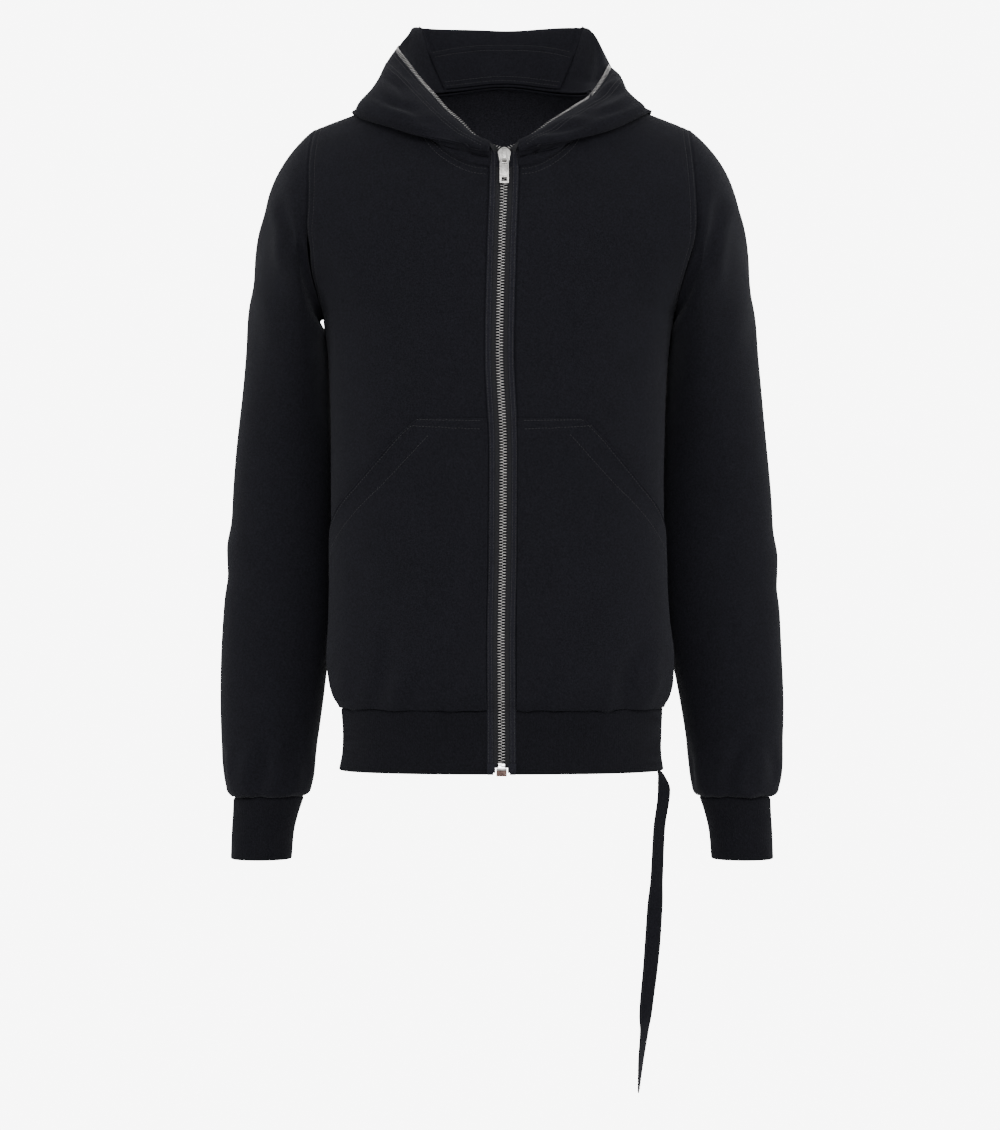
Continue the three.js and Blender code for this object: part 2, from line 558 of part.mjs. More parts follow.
// One half of the hood, column by column from the zip to the middle of the back
function hoodHalf(side) {
  const table = side < 0 ? HOOD_RIGHT : HOOD_LEFT;
  const plan = FRONT_NECK.concat(BACK_NECK.slice(1));
  return plan.map(({ x, y }) => {
    const z = neckHeight(side * x, y);
    const angle = (Math.atan2(x, -(y - HOOD_MIDDLE_Y)) * 180) / Math.PI;
    const row = {};
    Object.keys(table[0]).forEach((column) => { row[column] = lookUp(table, 'at', angle, column); });
    const away = Math.hypot(x, y - HOOD_MIDDLE_Y);
    const dx = x / away;
    const dy = (y - HOOD_MIDDLE_Y) / away;
    return hoodProfile(new THREE.Vector2(away, z), row, foldFullness(angle)).map((p, k) => {
      const place = new THREE.Vector3(
        wander(side * p.x * dx, p.y),
        HOOD_MIDDLE_Y + p.x * dy,
        p.y,
      );
      return k === 0 ? place : liftOff(place, HOOD_CLEAR);
    });
  });
}

// Turns columns into rows
function turned(columns) {
  return columns[0].map((_, j) => columns.map((column) => column[j]));
}

// Gives two sheets that meet at a seam the same direction out there
function shareSeam(first, firstPath, second, secondPath) {
  firstPath.forEach(([j, i], k) => {
    const [m, n] = secondPath[k];
    const both = first.normals[j][i].clone().add(second.normals[m][n]).normalize();
    first.normals[j][i].copy(both);
    second.normals[m][n].copy(both);
  });
}

// Open edges of a sheet as loops of places, each with the place inside it
function openEdges({ points, around }) {
  const top = points.length - 1;
  const end = points[0].length - 1;
  const bottomRow = points[0].map((_, i) => [0, i, 1, i]);
  const topRow = points[0].map((_, i) => [top, i, top - 1, i]);
  if (around) return [bottomRow, topRow];
  const sides = (i, next) => points.map((_, j) => [j, i, j, next]).slice(1, -1);
  return [bottomRow.concat(sides(end, end - 1), topRow.reverse(), sides(0, 1).reverse())];
}

// Draws a sheet's open edges back from its seams, square to the wall's rim
function drawBack(sheet, by) {
  const { points, normals } = sheet;
  const moved = points.map((row) => row.map((p) => p.clone()));
  openEdges(sheet).forEach((loop) => loop.forEach(([j, i, m, n], k) => {
    const [ja, ia] = loop[(k + loop.length - 1) % loop.length];
    const [jb, ib] = loop[(k + 1) % loop.length];
    const along = points[jb][ib].clone().sub(points[ja][ia]);
    const way = normals[j][i].clone().cross(along).normalize();
    const inside = points[m][n].clone().sub(points[j][i]);
    moved[j][i].addScaledVector(way, way.dot(inside) > 0 ? by : -by);
  }));
  return { ...sheet, points: moved };
}

// Triangles of a sheet's cells, as places in its grid
function cellTriangles(sheet) {
  const rows = sheet.points.length;
  const columns = sheet.points[0].length;
  const across = sheet.around ? columns : columns - 1;
  const triangles = [];
  for (let j = 0; j < rows - 1; j += 1) {
    for (let i = 0; i < across; i += 1) {
      const a = j * columns + i;
      const b = j * columns + ((i + 1) % columns);
      const c = b + columns;
      const d = a + columns;
      triangles.push(...(sheet.crossed ? [[a, b, d], [b, c, d]] : [[a, b, c], [a, c, d]]));
    }
  }
  return triangles;
}

// Closed wall between two faces of a sheet, at two distances from its points
function wallBetween(sheet, outerAt, innerAt, triangles = cellTriangles(sheet)) {
  const places = sheet.points.flat();
  const directions = sheet.normals.flat();
  const positions = [outerAt, innerAt].flatMap((distance) => places.flatMap((p, k) => (
    p.clone().addScaledVector(directions[k], distance).toArray())));
  const size = places.length;
  const turned = sheet.outward > 0 ? triangles : triangles.map(([a, b, c]) => [c, b, a]);
  const faces = turned.flatMap(([a, b, c]) => [a, b, c, c + size, b + size, a + size]);
  const edges = new Map();
  turned.forEach((corners) => corners.forEach((a, k) => {
    const b = corners[(k + 1) % 3];
    if (!edges.delete(`${b} ${a}`)) edges.set(`${a} ${b}`, [a, b]);
  }));
  edges.forEach(([a, b]) => faces.push(a, a + size, b + size, a, b + size, b));
  const geometry = new THREE.BufferGeometry();
  geometry.setAttribute('position', new THREE.Float32BufferAttribute(positions, 3));
  geometry.setIndex(faces);
  return geometry;
}

// Pocket, from the front panel's own points moved out. Its opening runs from the side seam
// up to the top corner, one column nearer the zip with each row
function pocketGeometry(front) {
  const columns = front.points[0].length;
  const side = FRONT_ROWS.indexOf(POCKET_SIDE);
  const top = FRONT_ROWS.indexOf(POCKET_TOP);
  const lastColumn = (j) => columns - 1 - Math.max(0, j - side);
  const triangles = cellTriangles(front).filter((corners) => corners.every((place) => {
    const j = Math.floor(place / columns);
    return j <= top && place % columns <= lastColumn(j);
  }));
  const used = front.points.map((row, j) => row.map((p, i) => {
    const q = p.clone();
    if (i === 0) q.lerp(row[1], POCKET_DRAWN_IN);
    if (i === columns - 1) q.lerp(row[i - 1], POCKET_DRAWN_IN);
    if (j === 0) q.lerp(front.points[1][i], POCKET_DRAWN_IN);
    return q;
  }));
  return wallBetween({ ...front, points: used }, LAY_GAP + POCKET_CLOTH, LAY_GAP, triangles);
}

// Half moon on the inside of the hood's back wall, between the neck seam and an arch
function neckFacing(middle) {
  const { foot, ends, top, steps } = FACING;
  const knots = middle.points;
  const last = knots[0].length - 1;
  const arch = (i) => top - (top - ends) * ((2 * i) / last - 1) ** 2;
  const rows = Array.from({ length: steps + 1 }, (_, j) => knots[0].map((__, i) => {
    const place = 2 * (foot + ((arch(i) - foot) * j) / steps);
    const k = Math.floor(place);
    return knots[k][i].clone().lerp(knots[k + 1][i], place - k);
  }));
  return makeSheet(rows, false, middle.outward);
}

// Closed bar of four sides that follows a line of frames. Each frame has a point, the
// direction across and the direction out
function bar(frames, from, to, low, high) {
  const positions = [];
  const faces = [];
  frames.forEach(({ point, across, out }) => {
    [[from, low], [to, low], [to, high], [from, high]].forEach(([a, b]) => {
      const q = point.clone().addScaledVector(across, a).addScaledVector(out, b);
      positions.push(q.x, q.y, q.z);
    });
  });
  const ends = frames.length - 1;
  for (let j = 0; j < ends; j += 1) {
    for (let i = 0; i < 4; i += 1) {
      const a = 4 * j + i;
      const b = 4 * j + ((i + 1) % 4);
      faces.push(a, b, b + 4, a, b + 4, a + 4);
    }
  }
  faces.push(0, 3, 2, 0, 2, 1);
  const e = 4 * ends;
  faces.push(e, e + 1, e + 2, e, e + 2, e + 3);
  const geometry = new THREE.BufferGeometry();
  geometry.setAttribute('position', new THREE.Float32BufferAttribute(positions, 3));
  geometry.setIndex(faces);
  return faceOut(geometry);
}

// The geometry with its faces turned outward
function faceOut(geometry) {
  const p = geometry.attributes.position;
  const index = geometry.index.array;
  const [a, b, c] = [new THREE.Vector3(), new THREE.Vector3(), new THREE.Vector3()];
  let volume = 0;
  for (let i = 0; i < index.length; i += 3) {
    a.fromBufferAttribute(p, index[i]);
    b.fromBufferAttribute(p, index[i + 1]);
    c.fromBufferAttribute(p, index[i + 2]);
    volume += a.dot(b.cross(c));
  }
  if (volume < 0) geometry.setIndex(Array.from(index).reverse());
  return geometry;
}

// Frames down the middle of the front, where the zip lies
function zipFrames(top, bottom, steps) {
  const step = 4;
  return Array.from({ length: steps + 1 }, (_, j) => {
    const z = top + ((bottom - top) * j) / steps;
    const point = new THREE.Vector3(wander(0, z), bodyDepth(0, z, -1), z);
    const along = new THREE.Vector3(0, bodyDepth(0, z + step, -1) - bodyDepth(0, z - step, -1), 2 * step);
    along.normalize();
    const across = new THREE.Vector3(1, 0, 0);
    return { point, across, out: along.clone().cross(across).negate() };
  });
}

// Frames along the hood's zipped edge, from the slider to the middle of the back
function edgeFrames(half, side) {
  return half.map((column, i) => {
    const last = column.length - 1;
    const point = column[last].clone();
    if (i === half.length - 1) point.lerp(half[i - 1][last], BACK_CLEAR);
    const away = column[last].clone().sub(column[last - 1]).normalize();
    const next = half[Math.min(half.length - 1, i + 1)][last];
    const before = half[Math.max(0, i - 1)][last];
    const along = next.clone().sub(before).normalize();
    const out = away.clone().cross(along).normalize().multiplyScalar(side);
    return { point, across: away, out };
  });
}

function solidFrom(geometry) {
  const plain = geometry.clone();
  plain.deleteAttribute('normal');
  plain.deleteAttribute('uv');
  const merged = mergeVertices(plain);
  return new wasm.Manifold(new wasm.Mesh({
    numProp: 3,
    vertProperties: merged.attributes.position.array,
    triVerts: new Uint32Array(merged.index.array),
  }));
}

function geometryFrom(solid) {
  const mesh = solid.getMesh();
  const geometry = new THREE.BufferGeometry();
  geometry.setAttribute('position', new THREE.Float32BufferAttribute(mesh.vertProperties, 3));
  geometry.setIndex(Array.from(mesh.triVerts));
  return geometry;
}

// A flat shape whose outline runs anticlockwise, with its holes
function flatShape(outline, holes) {
  const points = outline.map(([a, b]) => new THREE.Vector2(a, b));
  if (THREE.ShapeUtils.isClockWise(points)) points.reverse();
  const shape = new THREE.Shape(points);
  holes.forEach((hole) => shape.holes.push(new THREE.Path(hole.map(([a, b]) => new THREE.Vector2(a, b)))));
  return shape;
}

// An outline in x and z pushed out along y, between two distances from the cloth
function plate(outline, low, high, holes = []) {
  const shape = flatShape(outline, holes);
  const geometry = new THREE.ExtrudeGeometry(shape, { depth: high - low, bevelEnabled: false });
  geometry.rotateX(Math.PI / 2);
  geometry.translate(0, -low, 0);
  return geometry;
}

// Slider: two plates in one body, with the crown that holds the tab
function sliderGeometry() {
  const { top, bottom, wide, narrow, low, high } = SLIDER;
  const shoulder = 2.5;
  const dome = [[-wide, shoulder], [-wide + 1.4, top - 3], [-wide + 4, top - 0.8], [0, top]];
  const body = plate([
    [-narrow, bottom], [narrow, bottom], ...dome.slice(0, 3).map(([x, z]) => [-x, z]), ...dome.reverse(),
  ], low, high);
  const rise = high + CROWN.tall;
  const profile = flatShape([
    [0.5 - high, CROWN.bottom], [1.4 - rise, CROWN.bottom], [-rise, CROWN.bottom + 2],
    [-rise, CROWN.top - 3], [-high - 1, CROWN.top], [0.5 - high, CROWN.top],
  ], [[
    [-high - 0.2, CROWN.bottom + CROWN.thick], [CROWN.thick - rise, CROWN.bottom + CROWN.thick],
    [CROWN.thick - rise, CROWN.top - 5], [-high - 0.2, CROWN.top - 4],
  ]]);
  const turn = new THREE.Matrix4().makeBasis(
    new THREE.Vector3(0, 1, 0),
    new THREE.Vector3(0, 0, 1),
    new THREE.Vector3(1, 0, 0),
  );
  const upright = new THREE.ExtrudeGeometry(profile, { depth: 2 * CROWN.half, bevelEnabled: false });
  upright.applyMatrix4(turn);
  upright.translate(-CROWN.half, 0, 0);
  return geometryFrom(solidFrom(body).add(solidFrom(upright)));
}

// Pull tab: a plate with a slot for the crown and a hole near its lower end
function tabGeometry() {
  const { half, long, thick, bar: rod, slotHalf, slotLong } = TAB;
  const top = PIVOT.up + rod / 2;
  const bottom = top - long;
  const slotTop = PIVOT.up - rod / 2;
  const slotBottom = slotTop - slotLong;
  const low = SLIDER.high + PIVOT.out - thick / 2;
  return plate(
    [[-half, bottom], [half, bottom], [half, top - 1], [half - 1, top], [-half + 1, top], [-half, top - 1]],
    low,
    low + thick,
    [
      [[-slotHalf, slotBottom], [-slotHalf, slotTop], [slotHalf, slotTop], [slotHalf, slotBottom]],
      [[-TAB_HOLE.half, PIVOT.up + TAB_HOLE.bottom], [-TAB_HOLE.half, PIVOT.up + TAB_HOLE.top],
        [TAB_HOLE.half, PIVOT.up + TAB_HOLE.top], [TAB_HOLE.half, PIVOT.up + TAB_HOLE.bottom]],
    ],
  );
}

function strapFrames() {
  const top = STRAP[0].z;
  const bottom = STRAP[STRAP.length - 1].z;
  const table = [...STRAP].reverse();
  return Array.from({ length: STRAP_STEPS + 1 }, (_, j) => {
    const z = top + ((bottom - top) * j) / STRAP_STEPS;
    const turn = (lookUp(table, 'z', z, 'turn') * Math.PI) / 180;
    return {
      point: new THREE.Vector3(lookUp(table, 'z', z, 'x'), lookUp(table, 'z', z, 'y'), z),
      across: new THREE.Vector3(Math.cos(turn), Math.sin(turn), 0),
      out: new THREE.Vector3(Math.sin(turn), -Math.cos(turn), 0),
    };
  });
}

function cloth(colour, roughness) {
  return new THREE.MeshStandardMaterial({ color: colour, roughness, metalness: 0 });
}

function metal(colour, roughness) {
  return new THREE.MeshStandardMaterial({ color: colour, roughness, metalness: 1 });
}

function add(name, geometry, material) {
  const mesh = new THREE.Mesh(geometry, material);
  mesh.name = name;
  hoodie.add(mesh);
  return mesh;
}

function addWall(name, sheet, thick, colour, gap = SEAM_GAP) {
  add(name, wallBetween(drawBack(sheet, gap / 2), 0, -thick), cloth(colour, 0.92));
}

// Body, sleeves and hood as sheets that share their seams
const FRONT_LOWER = FRONT_ROWS.length - 1;
const BACK_LOWER = BACK_ROWS.length - 1;
const FRONT_TOP = FRONT_LOWER + ARMHOLE_STEPS;
const BACK_TOP = BACK_LOWER + ARMHOLE_STEPS;
const FRONT_COLUMNS = FRONT_NECK.length - 1 + SHOULDER_STEPS;
const BACK_HALF = BACK_NECK.length - 1 + SHOULDER_STEPS;
const NECK_COLUMNS = FRONT_NECK.length - 1;

const back = backPanel();
const halves = { right: hoodHalf(-1), left: hoodHalf(1) };
const middleColumns = [...halves.right.slice(HOOD_SEAM_COLUMN)]
  .concat([...halves.left.slice(HOOD_SEAM_COLUMN, -1)].reverse());
const hoodMiddle = makeSheet(turned(middleColumns), false, -1);

const bodies = [-1, 1].map((side) => {
  const front = frontPanel(side);
  const arm = sleeve(side, front, back);
  const hood = makeSheet(turned(halves[sideName(side)].slice(0, HOOD_SEAM_COLUMN + 1)), false, side);
  return { side, front, arm, hood, cuff: cuff(side) };
});

function count(from, to) {
  const step = to < from ? -1 : 1;
  return Array.from({ length: Math.abs(to - from) + 1 }, (_, k) => from + k * step);
}

function joinSeams({ side, front, arm, hood }) {
  const outer = side > 0 ? 2 * BACK_HALF : 0;
  const neckBack = BACK_NECK.length - 1;
  const backAt = (k) => [BACK_TOP, BACK_HALF + side * k];
  const steps = 2 * ARMHOLE_STEPS;
  shareSeam(
    front, count(NECK_COLUMNS, FRONT_COLUMNS).map((i) => [FRONT_TOP, i]),
    back, count(neckBack, BACK_HALF).map(backAt),
  );
  shareSeam(
    front, count(FRONT_TOP, FRONT_LOWER).map((j) => [j, FRONT_COLUMNS]),
    arm, count(0, ARMHOLE_STEPS).map((i) => [0, i]),
  );
  shareSeam(
    back, count(BACK_LOWER, BACK_TOP).map((j) => [j, outer]),
    arm, count(ARMHOLE_STEPS, steps).map((i) => [0, i % steps]),
  );
  shareSeam(
    front, count(0, NECK_COLUMNS).map((i) => [FRONT_TOP, i]),
    hood, count(0, NECK_COLUMNS).map((i) => [0, i]),
  );
  shareSeam(
    back, count(neckBack, neckBack + NECK_COLUMNS - HOOD_SEAM_COLUMN).map(backAt),
    hood, count(NECK_COLUMNS, HOOD_SEAM_COLUMN).map((i) => [0, i]),
  );
  const middleColumn = side < 0 ? 0 : hoodMiddle.points[0].length - 1;
  shareSeam(
    hood, hood.points.map((_, j) => [j, HOOD_SEAM_COLUMN]),
    hoodMiddle, hoodMiddle.points.map((_, j) => [j, middleColumn]),
  );
}

const MIDDLE_HALF = (hoodMiddle.points[0].length - 1) / 2;
for (let pass = 0; pass < 3; pass += 1) {
  bodies.forEach(joinSeams);
  shareSeam(
    back, count(-MIDDLE_HALF, MIDDLE_HALF).map((k) => [BACK_TOP, BACK_HALF + k]),
    hoodMiddle, count(0, 2 * MIDDLE_HALF).map((i) => [0, i]),
  );
}

addWall('back', back, CLOTH, FLEECE);
addWall('hood_center', hoodMiddle, CLOTH, FLEECE, FOLDED_GAP);
addWall('hem_band', hemBand(), RIB, RIB_COLOUR);

bodies.forEach(({ side, front, arm, hood, cuff: wrist }) => {
  const name = sideName(side);
  addWall(`front_${name}`, front, CLOTH, FLEECE);
  addWall(`sleeve_${name}`, arm, CLOTH, FLEECE, FOLDED_GAP);
  addWall(`cuff_${name}`, wrist, RIB, RIB_COLOUR);
  addWall(`hood_${name}`, hood, CLOTH, FLEECE, FOLDED_GAP);
  add(`pocket_${name}`, pocketGeometry(front), cloth(FLEECE, 0.92));
  const tapeFrames = zipFrames(CHAIN_TOP - 2, BOX_TOP, ZIP_STEPS);
  const frames = [...zipFrames(STRIP_TOP, CHAIN_TOP, 1), ...tapeFrames.slice(1), zipFrames(HEM - 1.5, HEM, 1)[0]];
  const edges = (from, to) => (side > 0 ? [from, to] : [-to, -from]);
  const strip = bar(frames, ...edges(STRIP.from, STRIP.to), STRIP.low, STRIP.high);
  add(`zip_strip_${name}`, strip, cloth(STRIP_COLOUR, 0.85));
  const tape = bar(tapeFrames, ...edges(TAPE.from, TAPE.to), TAPE.low, TAPE.high);
  add(`zip_tape_${name}`, tape, cloth(TAPE_COLOUR, 0.8));
  const { wide, high, low, clear } = EDGE_TEETH;
  const teeth = bar(edgeFrames(halves[name], side), clear, clear + wide, low - CLOTH / 2, high - CLOTH / 2);
  add(`hood_zip_${name}`, teeth, metal(NICKEL, 0.35));
});

const facingAt = -CLOTH - LAY_GAP;
const facing = wallBetween(neckFacing(hoodMiddle), facingAt, facingAt - FACING_CLOTH);
add('neck_facing', facing, cloth(FLEECE, 0.9));

const chain = bar(zipFrames(CHAIN_TOP, BOX_TOP, ZIP_STEPS), -CHAIN.half, CHAIN.half, CHAIN.low, CHAIN.high);
add('zip_chain', chain, metal(NICKEL, 0.35));
const box = bar(zipFrames(BOX_TOP - BOX.clear, BOX.bottom, 1), -BOX.half, BOX.half, BOX.low, BOX.high);
add('zip_box', box, metal(DARK_METAL, 0.4));

// The slider and its tab share a frame that lies on the zip
const seat = zipFrames(SLIDER_AT, SLIDER_AT - 1, 1)[0];
const lie = new THREE.Group();
lie.position.copy(seat.point);
lie.rotation.x = -Math.atan2(seat.out.z, -seat.out.y);
hoodie.add(lie);

function addOnSeat(name, geometry) {
  const mesh = new THREE.Mesh(geometry, metal(NICKEL, 0.25));
  mesh.name = name;
  lie.add(mesh);
}
addOnSeat('zip_slider', sliderGeometry());
addOnSeat('zip_pull', tabGeometry());

const strap = bar(strapFrames(), -STRAP_WIDE / 2, STRAP_WIDE / 2, -STRAP_CLOTH / 2, STRAP_CLOTH / 2);
add('strap', strap, cloth(FLEECE, 0.9));

export default hoodie;
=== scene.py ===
"""Zip up hoodie, filled out as it is worn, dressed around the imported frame."""
import math

import bmesh
import bpy
import numpy as np
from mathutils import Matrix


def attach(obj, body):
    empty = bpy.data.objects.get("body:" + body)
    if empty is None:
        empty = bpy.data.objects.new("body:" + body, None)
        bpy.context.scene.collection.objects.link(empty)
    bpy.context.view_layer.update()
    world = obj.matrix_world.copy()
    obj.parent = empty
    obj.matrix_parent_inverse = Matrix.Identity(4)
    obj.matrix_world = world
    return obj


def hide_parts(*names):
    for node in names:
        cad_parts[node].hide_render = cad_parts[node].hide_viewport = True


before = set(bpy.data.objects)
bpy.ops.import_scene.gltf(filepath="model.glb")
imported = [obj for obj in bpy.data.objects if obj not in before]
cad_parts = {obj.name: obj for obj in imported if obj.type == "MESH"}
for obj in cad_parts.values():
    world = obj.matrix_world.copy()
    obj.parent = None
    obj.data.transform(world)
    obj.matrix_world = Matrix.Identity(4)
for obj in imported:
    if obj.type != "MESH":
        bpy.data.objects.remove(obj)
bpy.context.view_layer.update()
MM = 0.001

# Cloth, in millimetres
CLOTH = 2.0
RIB = 2.8
POCKET_CLOTH = 1.6
FACING_CLOTH = 1.2
LAY_GAP = 0.8

# Levels and sections of the body
BAND_SEAM = -639
HEM = -703
UNDERARM = -235
CHEST = -190
SHOULDER_POINT = -38.9
ACROSS = 2.4
DEEP = 2.3
ROUND = 2.2
WANDER_REACH = 70
SHOULDER_STEPS = 5
ARMHOLE_STEPS = 10


def table(names, *rows):
    """Rows of numbers as named columns."""
    return {name: np.array(column, float) for name, column in zip(names.split(), zip(*rows))}


TORSO = table(
    "z right left front back",
    (-703, 169.0, 168.0, 98, 102),
    (-690, 166.5, 166.0, 97, 101),
    (-665, 165.5, 166.0, 97, 101),
    (-639, 167.5, 167.0, 99, 103),
    (-628, 174.0, 172.5, 104, 108),
    (-612, 178.5, 176.0, 107, 111),
    (-590, 180.5, 176.5, 108, 112),
    (-545, 178.0, 171.5, 108, 112),
    (-487, 177.0, 168.5, 109, 113),
    (-420, 177.5, 168.5, 111, 115),
    (-340, 178.0, 169.5, 115, 121),
    (-292, 179.5, 171.6, 118, 126),
    (-253, 183.0, 175.0, 120, 130),
    (-235, 186.0, 178.5, 121, 131),
    (-215, 196.0, 190.0, 122, 132),
    (-190, 212.0, 206.0, 122, 132),
    (-160, 228.0, 224.0, 122, 132),
    (-130, 240.0, 238.0, 122, 132),
    (-76, 247.0, 246.0, 122, 132),
    (30, 252.0, 252.0, 122, 132),
)
ARMHOLE = table(
    "z right left",
    (-235, 186.0, 178.5),
    (-215, 190.0, 182.0),
    (-190, 196.0, 189.0),
    (-160, 199.0, 196.0),
    (-130, 198.5, 198.0),
    (-76, 198.6, 196.0),
    (-38.9, 193.4, 193.4),
)
FRONT_NECK = [(15, -110), (34, -108), (55, -102), (73, -91), (85, -70), (91, -42), (93, -18), (92, 0)]
BACK_NECK = [(92, 0), (90, 10), (84, 20), (74, 29), (60, 37), (45, 42), (30, 45), (15, 46.5), (0, 47)]
FRONT_ROWS = [
    -639, -628, -612, -590, -556, -518, -490, -473, -461, -449, -437, -425, -413, -398, -381, -362, -345,
    -310, -272, -235,
]
BACK_ROWS = [-639, -628, -612, -590, -556, -518, -473, -425, -381, -345, -310, -272, -235]
ZIP_WANDER = table(
    "z x",
    (-703, -0.5), (-678, -0.5), (-577, -1.0), (-477, 0.6), (-376, 1.2), (-276, -2.6), (-175, -0.5),
    (-84, 2.2), (-60, 2.2),
)
SLEEVE_COLUMNS = "outX outZ inX inZ midY front back"
SLEEVE = table(
    SLEEVE_COLUMNS,
    (207, -51, 183.5, -238.5, 1, 76, 82),
    (222, -67, 184.0, -244, 8, 82, 77),
    (236, -88, 179.5, -253, 18, 88, 68),
    (247.5, -121, 174.6, -267, 27, 91, 60),
    (256, -160, 172.6, -285, 32, 87, 57),
    (262.5, -210, 171, -305, 36, 81, 57),
    (268.5, -265, 169.5, -332, 40, 73, 57),
    (274, -322, 168.5, -366, 39, 60, 62),
    (280, -378, 166.5, -405, 45, 57, 58),
    (285, -434, 165.5, -448, 48, 54, 55),
    (289, -490, 166.0, -493, 49, 52, 53),
    (293, -545, 169.5, -540, 48, 51, 51),
    (295.5, -600, 178.5, -590, 45, 49, 49),
    (296, -645, 187.0, -635, 41, 47, 47),
    (294.5, -680, 192.5, -668, 37, 46, 45),
    (292.5, -704, 196.0, -696, 34, 45, 44),
    (290, -722, 198.5, -718, 32, 43, 42),
    (288, -730, 201.0, -729, 31, 42, 41),
    (281.5, -735, 206.5, -734, 30, 35, 34),
)
ARMHOLE_KEPT = [0.72, 0.46, 0.26, 0.12, 0.04]
CUFF = table(
    SLEEVE_COLUMNS,
    (281.5, -735, 206.5, -734, 30, 35, 34),
    (282.0, -750, 211.5, -749, 29, 34, 33),
    (283.0, -768, 216.0, -767, 27, 33, 32),
    (284.0, -798, 219.0, -798, 25, 32, 31),
)
HOOD_MIDDLE_Y = -25
FOLD_RADIUS = 5
HOOD_CLEAR = 2.2
HOOD_SEAM_COLUMN = 11
HOOD_COLUMNS = "at ridgeR ridgeZ lipR lipZ bulgeR bulgeZ edgeR edgeZ"
HOOD = {
    -1: table(
        HOOD_COLUMNS,
        (0, 85.5, -84, 88, -79, 87, -75, 80, -71),
        (22, 90, -76, 96, -70, 95, -62, 78, -57),
        (35, 94, -68, 102, -65, 100, -55, 77, -42),
        (48, 98, -54, 114, -59, 111, -42, 77, -30),
        (62, 102, -34, 127, -49, 123, -26, 80, -12),
        (79, 101, -8, 145, -36, 136, -7, 87, 6),
        (94, 103, 18, 157, -27, 144, 6, 101, 27),
        (105, 109, 38, 162, -25, 152, 10, 119, 42),
        (113, 117, 54, 166, -27, 160, 12, 132, 48),
        (122, 126, 69, 170, -38, 170, 8, 146, 52),
        (133, 130, 76, 172, -64, 181, -4, 160, 50),
        (147, 113, 75, 177, -118, 191, -28, 170, 46),
        (163, 100, 74, 181, -155, 199, -52, 180, 44),
        (180, 97, 73, 182, -167, 203, -62, 186, 43),
    ),
    1: table(
        HOOD_COLUMNS,
        (0, 85.5, -84, 88, -79, 87, -75, 80, -71),
        (22, 90, -76, 96, -70, 95, -62, 79, -55),
        (35, 94, -69, 103, -66, 101, -56, 80, -44),
        (48, 98, -56, 113, -60, 111, -44, 82, -35),
        (62, 104, -40, 126, -50, 123, -32, 87, -24),
        (79, 107, -18, 143, -34, 136, -14, 96, -8),
        (94, 104, 0, 156, -27, 144, -1, 108, 12),
        (105, 108, 17, 161, -25, 150, 3, 122, 25),
        (113, 115, 39, 165, -27, 160, 6, 137, 30),
        (122, 127, 64, 170, -38, 168, 3, 146, 36),
        (133, 129, 76, 172, -64, 180, -8, 160, 39),
        (147, 112, 76, 177, -118, 191, -30, 170, 41),
        (163, 100, 74, 181, -155, 199, -52, 180, 42),
        (180, 97, 73, 182, -167, 203, -62, 186, 43),
    ),
}
POCKET_TOP = -345
POCKET_SIDE = -473
PANEL_EDGE = 15
CHAIN_TOP = -87.6
BOX_TOP = -697.3
STRAP_WIDE = 17
STRAP_CLOTH = 1.2
STRAP = table(
    "z x y turn",
    (-1040, 142.0, 0, 86),
    (-1007, 144.6, 0, 69),
    (-975, 148.2, 0, 56),
    (-960, 149.3, 1, 38),
    (-944, 150.8, 2, 31),
    (-913, 154.3, 3, 22),
    (-882, 157.0, 4, 12),
    (-851, 159.0, 4, 14),
    (-820, 161.0, 4, 38),
    (-767, 163.6, 3, 42),
    (-726, 168.6, 2, 38),
    (-711, 165.6, 1, 66),
    (-703, 162.0, 0, 84),
    (-690, 160.4, 0, 90),
    (-660, 160.4, 0, 90),
)


def look_up(rows, column, value, key="z"):
    """A table's column at values of its key, on a smooth curve through the rows."""
    k, c = rows[key], rows[column]
    run = np.diff(k)
    slope = np.diff(c) / run
    both = slope[:-1] * slope[1:]
    total = slope[:-1] + slope[1:]
    inner = np.where(both > 0, 2 * both / np.where(total == 0, 1, total), 0)
    tangent = np.concatenate([slope[:1], inner, slope[-1:]])
    v = np.clip(value, k[0], k[-1])
    i = np.clip(np.searchsorted(k, v, side="right") - 1, 0, len(k) - 2)
    t = (v - k[i]) / run[i]
    h = t * t * (3 - 2 * t)
    bow = run[i] * t * (1 - t) * ((1 - t) * tangent[i] - t * tangent[i + 1])
    return c[i] * (1 - h) + c[i + 1] * h + bow


def smooth(t):
    t = np.clip(t, 0, 1)
    return t * t * (3 - 2 * t)


def side_name(side):
    return "left" if side > 0 else "right"


def shoulder_height(x):
    return 24.1 - 0.4 * (np.hypot(x, 40) - 40)


def across_share(x, z):
    half = np.where(np.asarray(x) < 0, look_up(TORSO, "right", z), look_up(TORSO, "left", z))
    return np.maximum(0, 1 - (np.abs(x) / half) ** ACROSS) ** (1 / DEEP)


def round_share(x, z):
    up = (z - CHEST) / (shoulder_height(x) - CHEST)
    return np.where(up <= 0, 1, np.sqrt(np.maximum(0, 1 - np.maximum(up, 0) ** ROUND)))


def body_depth(x, z, face):
    full = look_up(TORSO, "front" if face < 0 else "back", z)
    return face * full * across_share(x, z) * round_share(x, z)


def neck_height(x, y):
    full = look_up(TORSO, "front" if y < 0 else "back", 0.0)
    z = 0.0
    for _ in range(8):
        share = abs(y) / (full * across_share(x, z))
        z = CHEST + (shoulder_height(x) - CHEST) * (1 - share * share) ** (1 / ROUND)
    return z


def wander(x, z):
    near = np.maximum(0, 1 - np.abs(x) / WANDER_REACH)
    return x + look_up(ZIP_WANDER, "x", z) * near * near * (3 - 2 * near)


